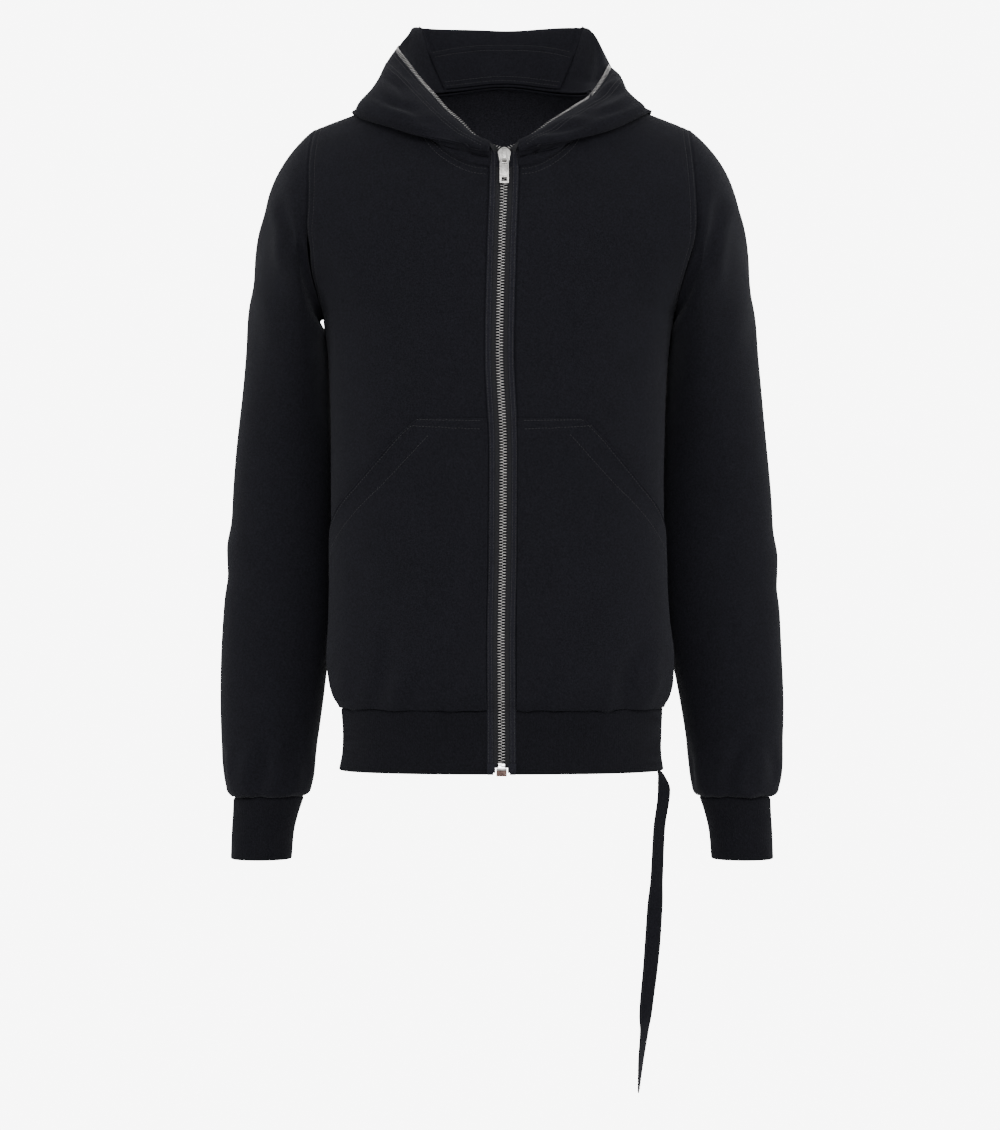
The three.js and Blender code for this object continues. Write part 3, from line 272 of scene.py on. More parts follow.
def body_point(x, z, face):
    y = body_depth(x, z, face)
    return np.array([wander(x, z) if face < 0 else x, y, z], float)


def across_at(z, side, share):
    half = look_up(TORSO, side_name(side), z)
    return side * half * math.sin(share * math.pi / 2) ** (2 / ACROSS)


def share_at(x, z, side):
    half = look_up(TORSO, side_name(side), z)
    return math.asin(min(1, abs(x) / half) ** (ACROSS / 2)) * 2 / math.pi


def shoulder_line(side):
    neck, tip = FRONT_NECK[-1][0], ARMHOLE["left"][-1]
    xs = [neck + (tip - neck) * (i + 1) / SHOULDER_STEPS for i in range(SHOULDER_STEPS)]
    return [np.array([side * x, shoulder_height(x)]) for x in xs]


def neck_line(rows, side):
    return [np.array([side * x, neck_height(side * x, y)]) for x, y in rows]


def fill_between(lower, upper, inner, outer):
    """Fills the area between four edges, seen from the front, from the lower edge up."""
    u = np.linspace(0, 1, len(lower))[None, :, None]
    v = np.linspace(0, 1, len(inner))[:, None, None]
    low, up = np.array(lower)[None], np.array(upper)[None]
    left, right = np.array(inner)[:, None], np.array(outer)[:, None]
    flat = low * (1 - v) + up * v + left * (1 - u) + right * u
    flat -= low[:, :1] * (1 - u) * (1 - v) + low[:, -1:] * u * (1 - v)
    return flat - up[:, :1] * (1 - u) * v - up[:, -1:] * u * v


def eased(steps):
    return (1 - np.cos(np.pi * np.arange(steps + 1) / steps)) / 2


def armhole_edge(side):
    z = UNDERARM + (SHOULDER_POINT - UNDERARM) * eased(ARMHOLE_STEPS)
    return np.stack([side * look_up(ARMHOLE, side_name(side), z), z], axis=1)


def upright(x, top):
    z = UNDERARM + (top - UNDERARM) * eased(ARMHOLE_STEPS)
    return np.stack([np.full_like(z, x), z], axis=1)


def front_points(side):
    start = share_at(PANEL_EDGE, UNDERARM, side)
    columns = len(FRONT_NECK) - 1 + SHOULDER_STEPS
    share = [start + (1 - start) * i / columns for i in range(columns + 1)]

    def at(i, z):
        return side * PANEL_EDGE if i == 0 else across_at(z, side, share[i])

    rows = []
    for z in FRONT_ROWS:
        row = [body_point(at(i, z), z, -1) for i in range(columns)]
        rows.append(row + [np.array([at(columns, z), 0, z])])
    upper = neck_line(FRONT_NECK, side) + shoulder_line(side)
    lower = [np.array([at(i, UNDERARM), UNDERARM]) for i in range(columns + 1)]
    inner = upright(side * PANEL_EDGE, upper[0][1])
    for row in fill_between(lower, upper, inner, armhole_edge(side))[1:]:
        rows.append([body_point(x, z, -1) for x, z in row])
    return np.array(rows)


def back_points():
    half = len(BACK_NECK) - 1 + SHOULDER_STEPS
    rows = []
    for z in BACK_ROWS:
        row = []
        for i in range(2 * half + 1):
            side = -1 if i < half else 1
            share = abs(i - half) / half
            x = across_at(z, side, share)
            row.append(np.array([x, 0, z]) if share == 1 else body_point(x, z, 1))
        rows.append(row)
    halves = []
    for side in (-1, 1):
        upper = neck_line(BACK_NECK[::-1], side) + shoulder_line(side)
        lower = [np.array([across_at(UNDERARM, side, i / half), UNDERARM]) for i in range(half + 1)]
        halves.append(fill_between(lower, upper, upright(0, upper[0][1]), armhole_edge(side))[1:])
    for right, left in zip(*halves):
        flat = list(right[::-1]) + list(left[1:])
        rows.append([body_point(x, z, 1) for x, z in flat])
    return np.array(rows)


def sleeve_ring(row, side, steps):
    spread = look_up(TORSO, "right", row["inZ"]) - look_up(TORSO, "left", row["inZ"])
    in_x = row["inX"] + (max(0, spread) if side < 0 else 0)
    turn = 2 * np.pi * np.arange(steps) / steps
    c, s = np.cos(turn), np.sin(turn)
    deep = np.where(s > 0, -row["front"] * np.abs(s) ** 0.92, row["back"] * np.abs(s) ** 0.92)
    return np.stack([
        side * ((row["outX"] + in_x) / 2 + (row["outX"] - in_x) / 2 * c),
        row["midY"] + deep,
        (row["outZ"] + row["inZ"]) / 2 + (row["outZ"] - row["inZ"]) / 2 * c,
    ], axis=1)


def row_of(rows, k):
    return {name: float(column[k]) for name, column in rows.items()}


def sleeve_points(side, front, back):
    front_edge = front[-1 - ARMHOLE_STEPS:, -1][::-1]
    back_edge = back[-1 - ARMHOLE_STEPS:, -1 if side > 0 else 0]
    loop = np.concatenate([front_edge, back_edge[1:-1]])
    steps = len(loop)
    tip, pit = loop[0], loop[steps // 2]
    first = row_of(SLEEVE, 0)
    first.update(outX=abs(tip[0]), outZ=tip[2], inX=abs(pit[0]), inZ=pit[2], midY=0)
    plain = sleeve_ring(first, side, steps)
    c = np.cos(2 * np.pi * np.arange(steps) / steps)
    plain[:, 0] = side * ((abs(tip[0]) + abs(pit[0])) / 2 + (abs(tip[0]) - abs(pit[0])) / 2 * c)
    rings = [loop]
    for k in range(len(SLEEVE["outX"])):
        kept = ARMHOLE_KEPT[k] if k < len(ARMHOLE_KEPT) else 0
        rings.append(sleeve_ring(row_of(SLEEVE, k), side, steps) + kept * (loop - plain))
    return np.array(rings)


def cuff_points(side):
    return np.array([sleeve_ring(row_of(CUFF, k), side, 2 * ARMHOLE_STEPS) for k in range(len(CUFF["outX"]))])


def band_points():
    per_side = 9
    rows = []
    for z in (HEM, -690, -665, BAND_SEAM):
        def half(side, face, start):
            row = []
            for i in range(per_side + 1):
                share = start + (1 - start) * i / per_side
                x = across_at(z, side, share)
                row.append(np.array([x, 0, z]) if share == 1 else body_point(x, z, face))
            return row

        start = share_at(PANEL_EDGE, z, 1)
        row = half(1, -1, start) + half(1, 1, 0)[::-1][1:]
        rows.append(row + half(-1, 1, 0)[1:] + half(-1, -1, start)[::-1][1:])
    return np.array(rows)


def hood_profile(neck, row, fullness):
    """Points of one hood profile, as distance from the neck's middle and height."""
    r = FOLD_RADIUS * fullness
    ridge, lip = (row["ridgeR"], row["ridgeZ"]), (row["lipR"], row["lipZ"])
    bulge, edge = (row["bulgeR"], row["bulgeZ"]), (row["edgeR"], row["edgeZ"])
    return [
        neck,
        ((neck[0] + ridge[0]) / 2, (neck[1] + ridge[1]) / 2),
        (ridge[0] - r * 0.75, ridge[1] - r * 1.1),
        ridge,
        (ridge[0] + r, ridge[1] - r * 1.2),
        ((ridge[0] + lip[0]) / 2, (ridge[1] + lip[1]) / 2),
        (lip[0] - r * 1.1, lip[1] + r * 1.2),
        lip,
        (lip[0] + r * 0.8, lip[1] + r * 1.4),
        bulge,
        ((bulge[0] + edge[0]) / 2 + 3 * fullness, (bulge[1] + edge[1]) / 2 + 3),
        edge,
    ]


HOOD_SIDES = table(
    "z right left",
    (-34, 185, 185),
    (-25, 172, 172),
    (-16.7, 154, 149),
    (-8.4, 146, 146),
    (0, 142, 138),
    (8, 139, 137),
    (16.6, 135, 134),
    (25, 132, 128),
    (33, 129, 120),
    (41.5, 125, 116),
    (50, 120, 112),
    (58, 109, 108),
    (66, 103, 103),
    (80, 100, 100),
)
HOOD_SOFT = 25


def draw_in(p, side):
    """Draws a point of the hood in where it would reach past the hood's side."""
    limit = np.interp(p[2], HOOD_SIDES["z"], HOOD_SIDES[side_name(side)]) - HOOD_SOFT
    beyond = abs(p[0]) - limit
    if beyond > 0:
        p[0] = side * (limit + HOOD_SOFT * (1 - math.exp(-beyond / HOOD_SOFT)))
    return p


def lift_off(p, clear):
    """Lifts a point off the shoulders, chest and back until it is clear of them."""
    face = -1 if p[1] < 0 else 1
    past = abs(p[1]) - abs(body_depth(p[0], p[2], face))
    full = look_up(TORSO, "front" if face < 0 else "back", 0.0)
    wide = full * across_share(p[0], p[2])
    if wide <= 0 or abs(p[1]) / wide >= 1:
        if 0 < past < clear:
            p[1] += face * (clear - past)
        return p
    above = p[2] - neck_height(p[0], p[1])
    slant = math.hypot(past, above)
    apart = past * above / slant if past > 0 else -abs(past * above) / slant
    if apart < clear:
        p[1] += face * abs(above) * (clear - apart) / slant
        p[2] += abs(past) * (clear - apart) / slant
    return p


def hood_half(side):
    """One half of the hood, column by column from the zip to the middle of the back."""
    columns = []
    for x, y in FRONT_NECK + BACK_NECK[1:]:
        z = neck_height(side * x, y)
        angle = math.degrees(math.atan2(x, -(y - HOOD_MIDDLE_Y)))
        row = {name: float(look_up(HOOD[side], name, angle, "at")) for name in HOOD_COLUMNS.split()}
        away = math.hypot(x, y - HOOD_MIDDLE_Y)
        dx, dy = x / away, (y - HOOD_MIDDLE_Y) / away
        fullness = float(smooth((angle - 20) / 50))
        column = []
        for k, (r, height) in enumerate(hood_profile((away, z), row, fullness)):
            place = np.array([float(wander(side * r * dx, height)), HOOD_MIDDLE_Y + r * dy, height])
            column.append(place if k == 0 else lift_off(draw_in(place, side), HOOD_CLEAR))
        columns.append(column)
    return np.array(columns)


def run_along(points):
    """Length run along a line of points, from its first."""
    return np.concatenate([[0], np.cumsum(np.linalg.norm(np.diff(points, axis=0), axis=1))])


def read_off(at, run, rows):
    """Rows of three numbers read off at lengths along a line."""
    return np.stack([np.interp(at, run, rows[:, k]) for k in range(3)], axis=-1)


def unit(ways):
    return ways / np.maximum(np.linalg.norm(ways, axis=-1, keepdims=True), 1e-9)


def tangents(knots, values):
    """Slopes of a smooth curve through values at knots, along the first axis."""
    run = np.diff(knots)[:, None, None]
    slope = np.diff(values, axis=0) / run
    inner = (slope[:-1] * run[1:] + slope[1:] * run[:-1]) / (run[:-1] + run[1:])
    return np.concatenate([slope[:1], inner, slope[-1:]])


def refine(points, stations):
    """Points of a grid's rows at stations along the first axis, on a smooth curve."""
    knots = distances(points, 0).mean(axis=1)
    at = stations(knots[-1])
    slope = tangents(knots, points)
    i = np.clip(np.searchsorted(knots, at, side="right") - 1, 0, len(knots) - 2)
    run = (knots[i + 1] - knots[i])[:, None, None]
    t = ((at - knots[i])[:, None, None]) / run
    h = t * t * (3 - 2 * t)
    bow = run * t * (1 - t) * ((1 - t) * slope[i] - t * slope[i + 1])
    return points[i] * (1 - h) + points[i + 1] * h + bow


SEAM_STEPS = (0, 0.7, 1.5, 2.3, 3.2, 4.4, 6.0, 7.2, 8.2, 9.4, 11.5)


def evenly(step, start=False, end=False):
    """Stations along a cloth a step apart, closer beside a seam at the start or the end."""
    def stations(length):
        first = SEAM_STEPS[-1] if start else 0
        last = length - (SEAM_STEPS[-1] if end else 0)
        middle = np.linspace(first, last, max(2, round((last - first) / step) + 1))
        before = list(SEAM_STEPS[:-1]) if start else []
        after = [length - s for s in SEAM_STEPS[:-1][::-1]] if end else []
        return np.array(before + list(middle) + after)

    return stations


def distances(points, axis):
    """Length run along an axis of the grid, from its first row or column."""
    run = np.linalg.norm(np.diff(points, axis=axis), axis=2)
    total = np.cumsum(run, axis=axis)
    zero = np.zeros_like(np.take(total, [0], axis=axis))
    return np.concatenate([zero, total], axis=axis)


class Sheet:
    """A sheet of cloth: a fine grid of points on its outer face and the direction out."""

    def __init__(self, points, row_stations, column_stations, outward, around=False):
        self.around = around
        self.outward = outward
        if row_stations is None:
            self.points = points
        elif around:
            points = np.concatenate([points[:, -2:], points, points[:, :3]], axis=1)
            turned = np.swapaxes(points, 0, 1)
            knots = distances(turned, 0).mean(axis=1)
            first, last = knots[2], knots[-3]
            count = round((last - first) / column_stations)
            at = np.linspace(first, last, count + 1)
            turned = refine(turned, lambda length: at)
            self.points = refine(np.swapaxes(turned, 0, 1), row_stations)
        else:
            points = np.swapaxes(refine(np.swapaxes(points, 0, 1), column_stations), 0, 1)
            self.points = refine(points, row_stations)
        self.base = self.points.copy()
        self.measure()
        self.wall_normals = self.normals
        self.from_bottom = distances(self.points, 0)
        self.from_top = self.from_bottom[-1:] - self.from_bottom
        self.from_first = distances(self.points, 1)
        self.from_last = self.from_first[:, -1:] - self.from_first
        self.uv = np.stack([self.from_first, self.from_bottom], axis=2) * MM

    def measure(self):
        p = self.points
        if self.around:
            ahead = np.concatenate([p[:, 1:], p[:, 1:2]], axis=1)
            behind = np.concatenate([p[:, -2:-1], p[:, :-1]], axis=1)
            across = ahead - behind
        else:
            across = np.gradient(p, axis=1)
        self.normals = self.outward * unit(np.cross(across, np.gradient(p, axis=0)))

    def move(self, offset):
        """Moves the outer face out by an offset at each point."""
        self.points = self.points + self.normals * offset[..., None]
        self.measure()

    def edge_line(self, edge, away, cut=(0, 0)):
        """Points and directions of a line at a distance from an edge, with its ends cut."""
        run = {"first": self.from_first, "last": self.from_last,
               "bottom": self.from_bottom.T, "top": self.from_top.T}[edge]
        p, n = self.points, self.normals
        if edge in ("bottom", "top"):
            p, n = np.swapaxes(p, 0, 1), np.swapaxes(n, 0, 1)
        if edge in ("last", "top"):
            run, p, n = run[:, ::-1], p[:, ::-1], n[:, ::-1]
        kept = slice(cut[0], len(p) - cut[1])
        places = np.array([read_off(away, r, line) for r, line in zip(run, p)])
        ways = np.array([read_off(away, r, out) for r, out in zip(run, n)])
        return places[kept], ways[kept]


def valley(distance, at, width):
    return np.exp(-(((distance - at) / width) ** 2))


SEAM_DEPTH = 1.1
SEAM_WIDTH = 1.3
STITCH_DEPTH = 0.42
STITCH_WIDTH = 0.9


def sew(sheet, edge, lines=(), depth=SEAM_DEPTH):
    """Turns an edge into its seam and presses each line of stitches in beside it."""
    away = {"first": sheet.from_first, "last": sheet.from_last,
            "bottom": sheet.from_bottom, "top": sheet.from_top}[edge]
    offset = -depth * valley(away, 0, SEAM_WIDTH)
    for line in lines:
        offset = offset - STITCH_DEPTH * valley(away, line, STITCH_WIDTH)
    return offset


# Creases drawn on what is seen from one side: across and up to across and up
CREASES = table(
    "seen a0 b0 a1 b1 bow width depth",
    (0, -246, -104, -227, -178, -7, 8, 4.6),
    (0, -226, -128, -206, -170, 6, 10, -4.2),
    (0, -262, -190, -236, -262, -5, 12, 1.6),
    (0, 244, -112, 222, -196, 7, 8, 4.0),
    (0, 222, -126, 205, -178, -6, 10, -4.0),
    (0, 262, -206, 240, -268, 5, 13, 1.5),
    (0, -196, -146, -150, -206, -9, 11, 2.6),
    (0, 194, -150, 152, -214, 9, 12, 2.4),
    (0, -128, -634, -116, -572, 3, 9, -3.8),
    (0, -106, -634, -92, -596, -3, 8, 2.4),
    (0, 40, -634, 52, -592, 3, 8, -3.2),
    (0, 124, -634, 138, -576, -5, 9, -3.8),
    (0, 146, -634, 156, -590, 4, 8, 2.6),
    (0, -60, -634, -70, -612, 2, 7, -1.4),
    (0, 84, -636, 92, -612, -2, 6, 1.3),
    (0, -252, -730, -244, -684, 3, 7, -3.2),
    (0, -268, -728, -260, -682, -3, 7, 2.4),
    (0, -232, -730, -214, -676, 3, 8, -2.6),
    (0, 236, -730, 248, -680, -3, 8, -3.0),
    (0, 262, -722, 268, -684, 3, 8, 1.8),
    (0, 248, -722, 252, -700, -2, 6, 1.4),
    (0, -272, -470, -232, -512, 8, 13, 0.6),
    (0, -270, -520, -240, -546, 6, 12, -0.6),
    (0, 270, -456, 230, -500, -8, 13, 0.6),
    (0, 272, -520, 244, -552, -6, 12, -0.6),
    (0, -272, -640, -230, -668, 5, 12, 1.2),
    (0, 274, -632, 234, -664, -5, 12, 1.2),
    (0, -150, -300, -110, -330, 6, 16, 1.1),
    (0, 146, -290, 108, -318, -6, 16, 1.0),
    (0, -84, -82, -60, -112, 4, 9, 1.0),
    (0, 92, -78, 66, -112, -4, 9, 1.1),
    (0, -111.7, 19.2, -96.3, 0.7, 2, 4.5, 3.0),
    (0, -120.9, 13.0, -100.4, -11.6, -3, 5, -3.0),
    (0, -127.1, 0.7, -106.6, -21.8, 3, 5, 3.0),
    (0, -121.9, -12.6, -92.2, -27.9, 3, 6, -3.2),
    (0, -133.2, -19.8, -75.8, -40.2, 4, 6, 2.6),
    (0, -102.5, -25.9, -63.5, -48.4, 2, 6, -2.2),
    (0, -137.3, -30.0, -73.8, -51.5, 5, 5, 2.4),
    (0, -109.6, -44.3, -48.2, -58.7, 3, 5, -2.4),
    (0, 118.8, 8.9, 90.1, -13.6, 2, 5, 3.0),
    (0, 129.0, 0.7, 96.3, -23.8, 3, 5, -3.2),
    (0, 129.0, -9.5, 104.5, -27.9, -3, 5, 3.2),
    (0, 135.2, -17.7, 90.1, -36.1, -4, 6, -3.0),
    (0, 127.0, -27.9, 71.7, -44.3, -4, 6, 2.6),
    (0, 100.4, -38.2, 51.2, -52.5, -3, 5, -2.4),
    (0, 85.0, -50.5, 33.8, -62.8, -3, 5, 2.2),
    (0, 27, -70, 36, -75, 0, 3.5, -1.5),
    (0, 36, -75, 56, -67, 2, 3.5, -1.7),
    (0, -170, -634, -160, -600, 3, 8, 1.6),
    (0, -48, -636, -40, -618, 2, 6, 1.5),
    (0, 26, -636, 30, -616, -2, 6, 1.4),
    (0, 106, -636, 110, -612, -2, 7, 1.6),
    (1, 82, 20, 109, 8, 2, 5, 2.2),
    (1, -246, -112, -214, -188, -8, 11, 2.6),
    (1, -222, -126, -200, -176, 6, 10, -2.6),
    (1, 244, -116, 212, -194, 8, 11, 2.4),
    (1, 220, -126, 200, -182, -6, 10, -2.6),
    (1, -176, -166, -118, -232, -10, 15, 1.9),
    (1, 172, -160, 120, -224, 10, 15, 1.9),
    (1, -150, -240, -60, -262, -10, 17, 1.3),
    (1, 150, -250, 66, -276, 9, 17, 1.2),
    (1, -60, -470, 70, -486, -12, 20, 1.5),
    (1, -120, -520, 20, -540, -10, 18, -1.3),
    (1, 30, -556, 140, -566, 10, 16, 1.3),
    (1, -140, -632, -130, -584, 3, 9, -2.4),
    (1, -92, -634, -82, -600, -3, 8, 1.8),
    (1, -40, -634, -30, -596, 4, 9, -2.2),
    (1, 16, -634, 22, -606, -3, 8, 1.6),
    (1, 66, -634, 76, -590, 4, 9, -2.4),
    (1, 118, -634, 128, -604, -3, 8, 1.6),
    (1, -276, -480, -226, -520, 8, 14, 1.8),
    (1, 276, -470, 228, -514, -8, 14, 1.8),
    (1, -270, -560, -234, -588, 5, 12, -1.4),
    (1, 270, -556, 236, -590, -5, 12, -1.4),
    (1, -258, -724, -250, -690, 3, 7, -2.0),
    (1, -236, -724, -230, -698, -3, 7, 1.6),
    (1, 250, -724, 244, -688, -3, 7, -2.0),
    (1, 270, -722, 264, -694, 3, 7, 1.5),
    (2, -40, -130, 30, -178, -8, 13, 1.8),
    (2, 70, -196, 10, -262, 9, 14, 1.6),
    (2, 88, -440, 16, -474, -9, 14, 1.9),
    (2, 86, -486, 20, -508, -6, 13, -1.5),
    (2, 4, -724, 8, -692, 3, 7, 1.7),
    (2, 24, -724, 26, -686, -3, 7, -2.0),
    (2, 48, -724, 46, -694, 3, 7, 1.5),
    (3, -36, -124, 34, -176, -8, 13, 1.8),
    (3, 74, -204, 12, -268, 9, 14, 1.6),
    (3, 88, -448, 14, -486, -9, 14, 1.9),
    (3, 84, -500, 18, -520, -6, 13, -1.5),
    (3, 6, -724, 4, -690, 3, 7, -1.9),
    (3, 28, -724, 30, -688, -3, 7, 1.7),
    (3, 50, -724, 52, -694, 3, 7, -1.6),
)
# Sides that the creases are drawn on: the axis across and the way that the side faces
SEEN = [(0, (0, -1, 0)), (0, (0, 1, 0)), (1, (-1, 0, 0)), (1, (1, 0, 0))]


def crease_offset(sheet):
    """Height of the creases at each point of a sheet, as soft ridges and troughs."""
    offset = np.zeros(sheet.points.shape[:2])
    for k in range(len(CREASES["seen"])):
        axis, facing = SEEN[int(CREASES["seen"][k])]
        a0, b0, a1, b1 = (CREASES[name][k] for name in ("a0", "b0", "a1", "b1"))
        turned_to = np.clip(sheet.normals @ np.array(facing) * 1.6, 0, 1)
        da, db = a1 - a0, b1 - b0
        length = math.hypot(da, db)
        pa, pb = sheet.points[..., axis] - a0, sheet.points[..., 2] - b0
        t = (pa * da + pb * db) / length ** 2
        side = (pa * db - pb * da) / length
        inside = np.clip(t, 0, 1)
        side = side - CREASES["bow"][k] * 4 * inside * (1 - inside)
        beyond = np.maximum(np.abs(t - 0.5) - 0.5, 0) * length
        width = CREASES["width"][k]
        taper = 0.35 + 0.65 * np.sin(np.pi * (0.1 + 0.8 * inside))
        shape = valley(side, 0, width) - 0.38 * valley(side, 1.7 * width, 1.3 * width)
        offset += CREASES["depth"][k] * turned_to * shape * taper * valley(beyond, 0, 1.4 * width)
    return offset


def ripple(sheet, away, height, size):
    """Lets a seam wander up and down, with the cloth close beside it."""
    x, y = sheet.points[..., 0] / size, sheet.points[..., 1] / size
    wander_up = np.sin(x + 0.6 * y) + 0.6 * np.sin(2.1 * x - 0.9 * y + 1)
    sheet.points[..., 2] += height * wander_up * valley(away, 0, RIPPLE_REACH)
    sheet.measure()


def unevenness(points, size, height, seed):
    """A smooth random height over space, from a few sine waves."""
    draw = np.random.default_rng(seed)
    total = np.zeros(points.shape[:2])
    for _ in range(7):
        way = draw.normal(size=3)
        way *= 2 * np.pi / (np.linalg.norm(way) * size * draw.uniform(0.7, 1.5))
        total += np.sin(points @ way + draw.uniform(0, 2 * np.pi))
    return height * total / 7


def add_object(name, data):
    """A new object, linked to the scene."""
    item = bpy.data.objects.new(name, data)
    bpy.context.scene.collection.objects.link(item)
    return item


def mesh_object(name, vertices, faces, material, uvs=None, body="garment"):
    """A smooth mesh from millimetres, on a body and a material slot."""
    mesh = bpy.data.meshes.new(name)
    mesh.from_pydata((np.asarray(vertices) * MM).tolist(), [], np.asarray(faces).tolist()
                     if isinstance(faces, np.ndarray) else faces)
    if uvs is not None:
        layer = mesh.uv_layers.new(name="UVMap")
        layer.data.foreach_set("uv", np.asarray(uvs, np.float32).ravel())
    mesh.polygons.foreach_set("use_smooth", np.ones(len(mesh.polygons), bool))
    mesh.materials.append(material)
    piece = add_object(name, mesh)
    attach(piece, body)
    return piece


def shell(name, sheet, thick, material, nodes, low=0.0, inside=None):
    """A wall of cloth on a sheet, with a rounded rim, in place of its frame nodes."""
    p, n, uv = sheet.points, sheet.wall_normals, sheet.uv
    rows, columns = p.shape[:2]
    wide = columns - 1 if sheet.around else columns
    outer = (p + n * (low + thick))[:, :wide].reshape(-1, 3)
    inner = (p + n * low)[:, :wide].reshape(-1, 3)
    size = rows * wide
    j, i = np.meshgrid(np.arange(rows - 1), np.arange(columns - 1), indexing="ij")
    j, i = j.ravel(), i.ravel()
    nxt = (i + 1) % wide
    quads = np.stack([j * wide + i, j * wide + nxt, (j + 1) * wide + nxt, (j + 1) * wide + i], axis=1)
    corner_uv = np.stack([uv[j, i], uv[j, i + 1], uv[j + 1, i + 1], uv[j + 1, i]], axis=1)
    if sheet.outward < 0:
        quads, corner_uv = quads[:, ::-1], corner_uv[:, ::-1]
    edges = {}
    for face, place in zip(quads.tolist(), corner_uv):
        for k in range(4):
            a, b = face[k], face[(k + 1) % 4]
            if edges.pop((b, a), None) is None:
                edges[(a, b)] = (place[k], place[(k + 1) % 4])
    faces = np.concatenate([quads, quads[:, ::-1] + size])
    uvs = [corner_uv, corner_uv[:, ::-1]]
    vertices = [outer, inner]
    rim = np.array(list(edges))
    used = np.unique(rim)
    order = {v: k for k, v in enumerate(used.tolist())}
    out = np.zeros((len(used), 3))
    ways = n[:, :wide].reshape(-1, 3)
    for a, b in rim:
        way = unit(np.cross(ways[a], outer[b] - outer[a]))
        out[order[a]] -= way
        out[order[b]] -= way
    out = unit(out)
    start = 2 * size
    middle = []
    for share, bulge in ((0.82, 0.32), (0.5, 0.45), (0.18, 0.32)):
        middle.append(outer[used] * share + inner[used] * (1 - share) + out * bulge * thick)
    vertices.extend(middle)
    layers = [used, start + np.arange(len(used)), start + len(used) + np.arange(len(used)),
              start + 2 * len(used) + np.arange(len(used)), used + size]
    rim_faces, rim_uvs = [], []
    place = np.array([[order[a], order[b]] for a, b in rim.tolist()])
    rim_uv = np.array(list(edges.values()))
    for upper, lower in zip(layers[:-1], layers[1:]):
        a, b = place[:, 0], place[:, 1]
        rim_faces.append(np.stack([upper[b], upper[a], lower[a], lower[b]], axis=1))
        rim_uvs.append(np.stack([rim_uv[:, 1], rim_uv[:, 0], rim_uv[:, 0], rim_uv[:, 1]], axis=1))
    faces = np.concatenate([faces] + rim_faces)
    uvs = np.concatenate(uvs + rim_uvs)
    vertices = np.concatenate(vertices)
    piece = mesh_object(name, vertices, faces, material, uvs)
    # Inner faces take the inside look, lighter partly as brushed fleece and partly as painted light on the shaded
    # inside
    if inside:
        piece.data.materials.append(inside)
        look = np.zeros(len(faces), np.int32)
        look[len(quads):2 * len(quads)] = 1
        piece.data.polygons.foreach_set("material_index", look)
    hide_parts(*nodes)
    return piece


class Look:
    """A node material in short calls."""

    def __init__(self, name, **sockets):
        self.material = bpy.data.materials.new(name)
        self.material.use_nodes = True
        self.tree = self.material.node_tree
        self.shader = self.tree.nodes["Principled BSDF"]
        for socket, value in sockets.items():
            self.shader.inputs[socket.replace("_", " ")].default_value = value

    def node(self, kind, settings=None, **inputs):
        node = self.tree.nodes.new(kind)
        for name, value in (settings or {}).items():
            setattr(node, name, value)
        for name, value in inputs.items():
            self.feed(node.inputs[name.replace("_", " ")], value)
        return node

    def feed(self, socket, value):
        if isinstance(value, bpy.types.NodeSocket):
            self.tree.links.new(value, socket)
        else:
            socket.default_value = value

    def noise(self, vector, scale, detail=2.0, roughness=0.5):
        node = self.node("ShaderNodeTexNoise", Vector=vector, Scale=scale, Detail=detail, Roughness=roughness)
        return node.outputs["Fac"]

    def math(self, operation, a, b=0.0):
        node = self.node("ShaderNodeMath", {"operation": operation})
        self.feed(node.inputs[0], a)
        self.feed(node.inputs[1], b)
        return node.outputs[0]

    def mix(self, factor, a, b):
        node = self.node("ShaderNodeMix", {"data_type": "RGBA"})
        self.feed(node.inputs["Factor"], factor)
        colours = [s for s in node.inputs if s.type == "RGBA"]
        self.feed(colours[0], a)
        self.feed(colours[1], b)
        return [s for s in node.outputs if s.type == "RGBA"][0]

    def range(self, value, low, high, to_low=0.0, to_high=1.0):
        node = self.node("ShaderNodeMapRange", Value=value)
        for name, number in (("From Min", low), ("From Max", high), ("To Min", to_low), ("To Max", to_high)):
            node.inputs[name].default_value = number
        return node.outputs[0]

    def bump(self, height, distance, strength=1.0, after=None):
        node = self.node("ShaderNodeBump", Height=height, Distance=distance, Strength=strength)
        if after is not None:
            self.feed(node.inputs["Normal"], after)
        return node.outputs[0]

    def colour(self, value):
        self.feed(self.shader.inputs["Base Color"], value)

    def rough(self, value):
        self.feed(self.shader.inputs["Roughness"], value)

    def normal(self, value):
        self.feed(self.shader.inputs["Normal"], value)


def tint(red, green, blue):
    """A colour of the screen, from 0 to 255, as light."""
    shares = (v / 255 for v in (red, green, blue))
    return tuple(v / 12.92 if v <= 0.04 else ((v + 0.055) / 1.055) ** 2.4 for v in shares) + (1,)


def along(look, uv, axis):
    split = look.node("ShaderNodeSeparateXYZ", Vector=uv)
    return split.outputs[axis]


def wave(look, value, pitch):
    """A smooth wave from 0 to 1 along a length in metres."""
    turned = look.math("MULTIPLY", value, 2 * math.pi / pitch)
    return look.math("ADD", look.math("MULTIPLY", look.math("SINE", turned), 0.5), 0.5)


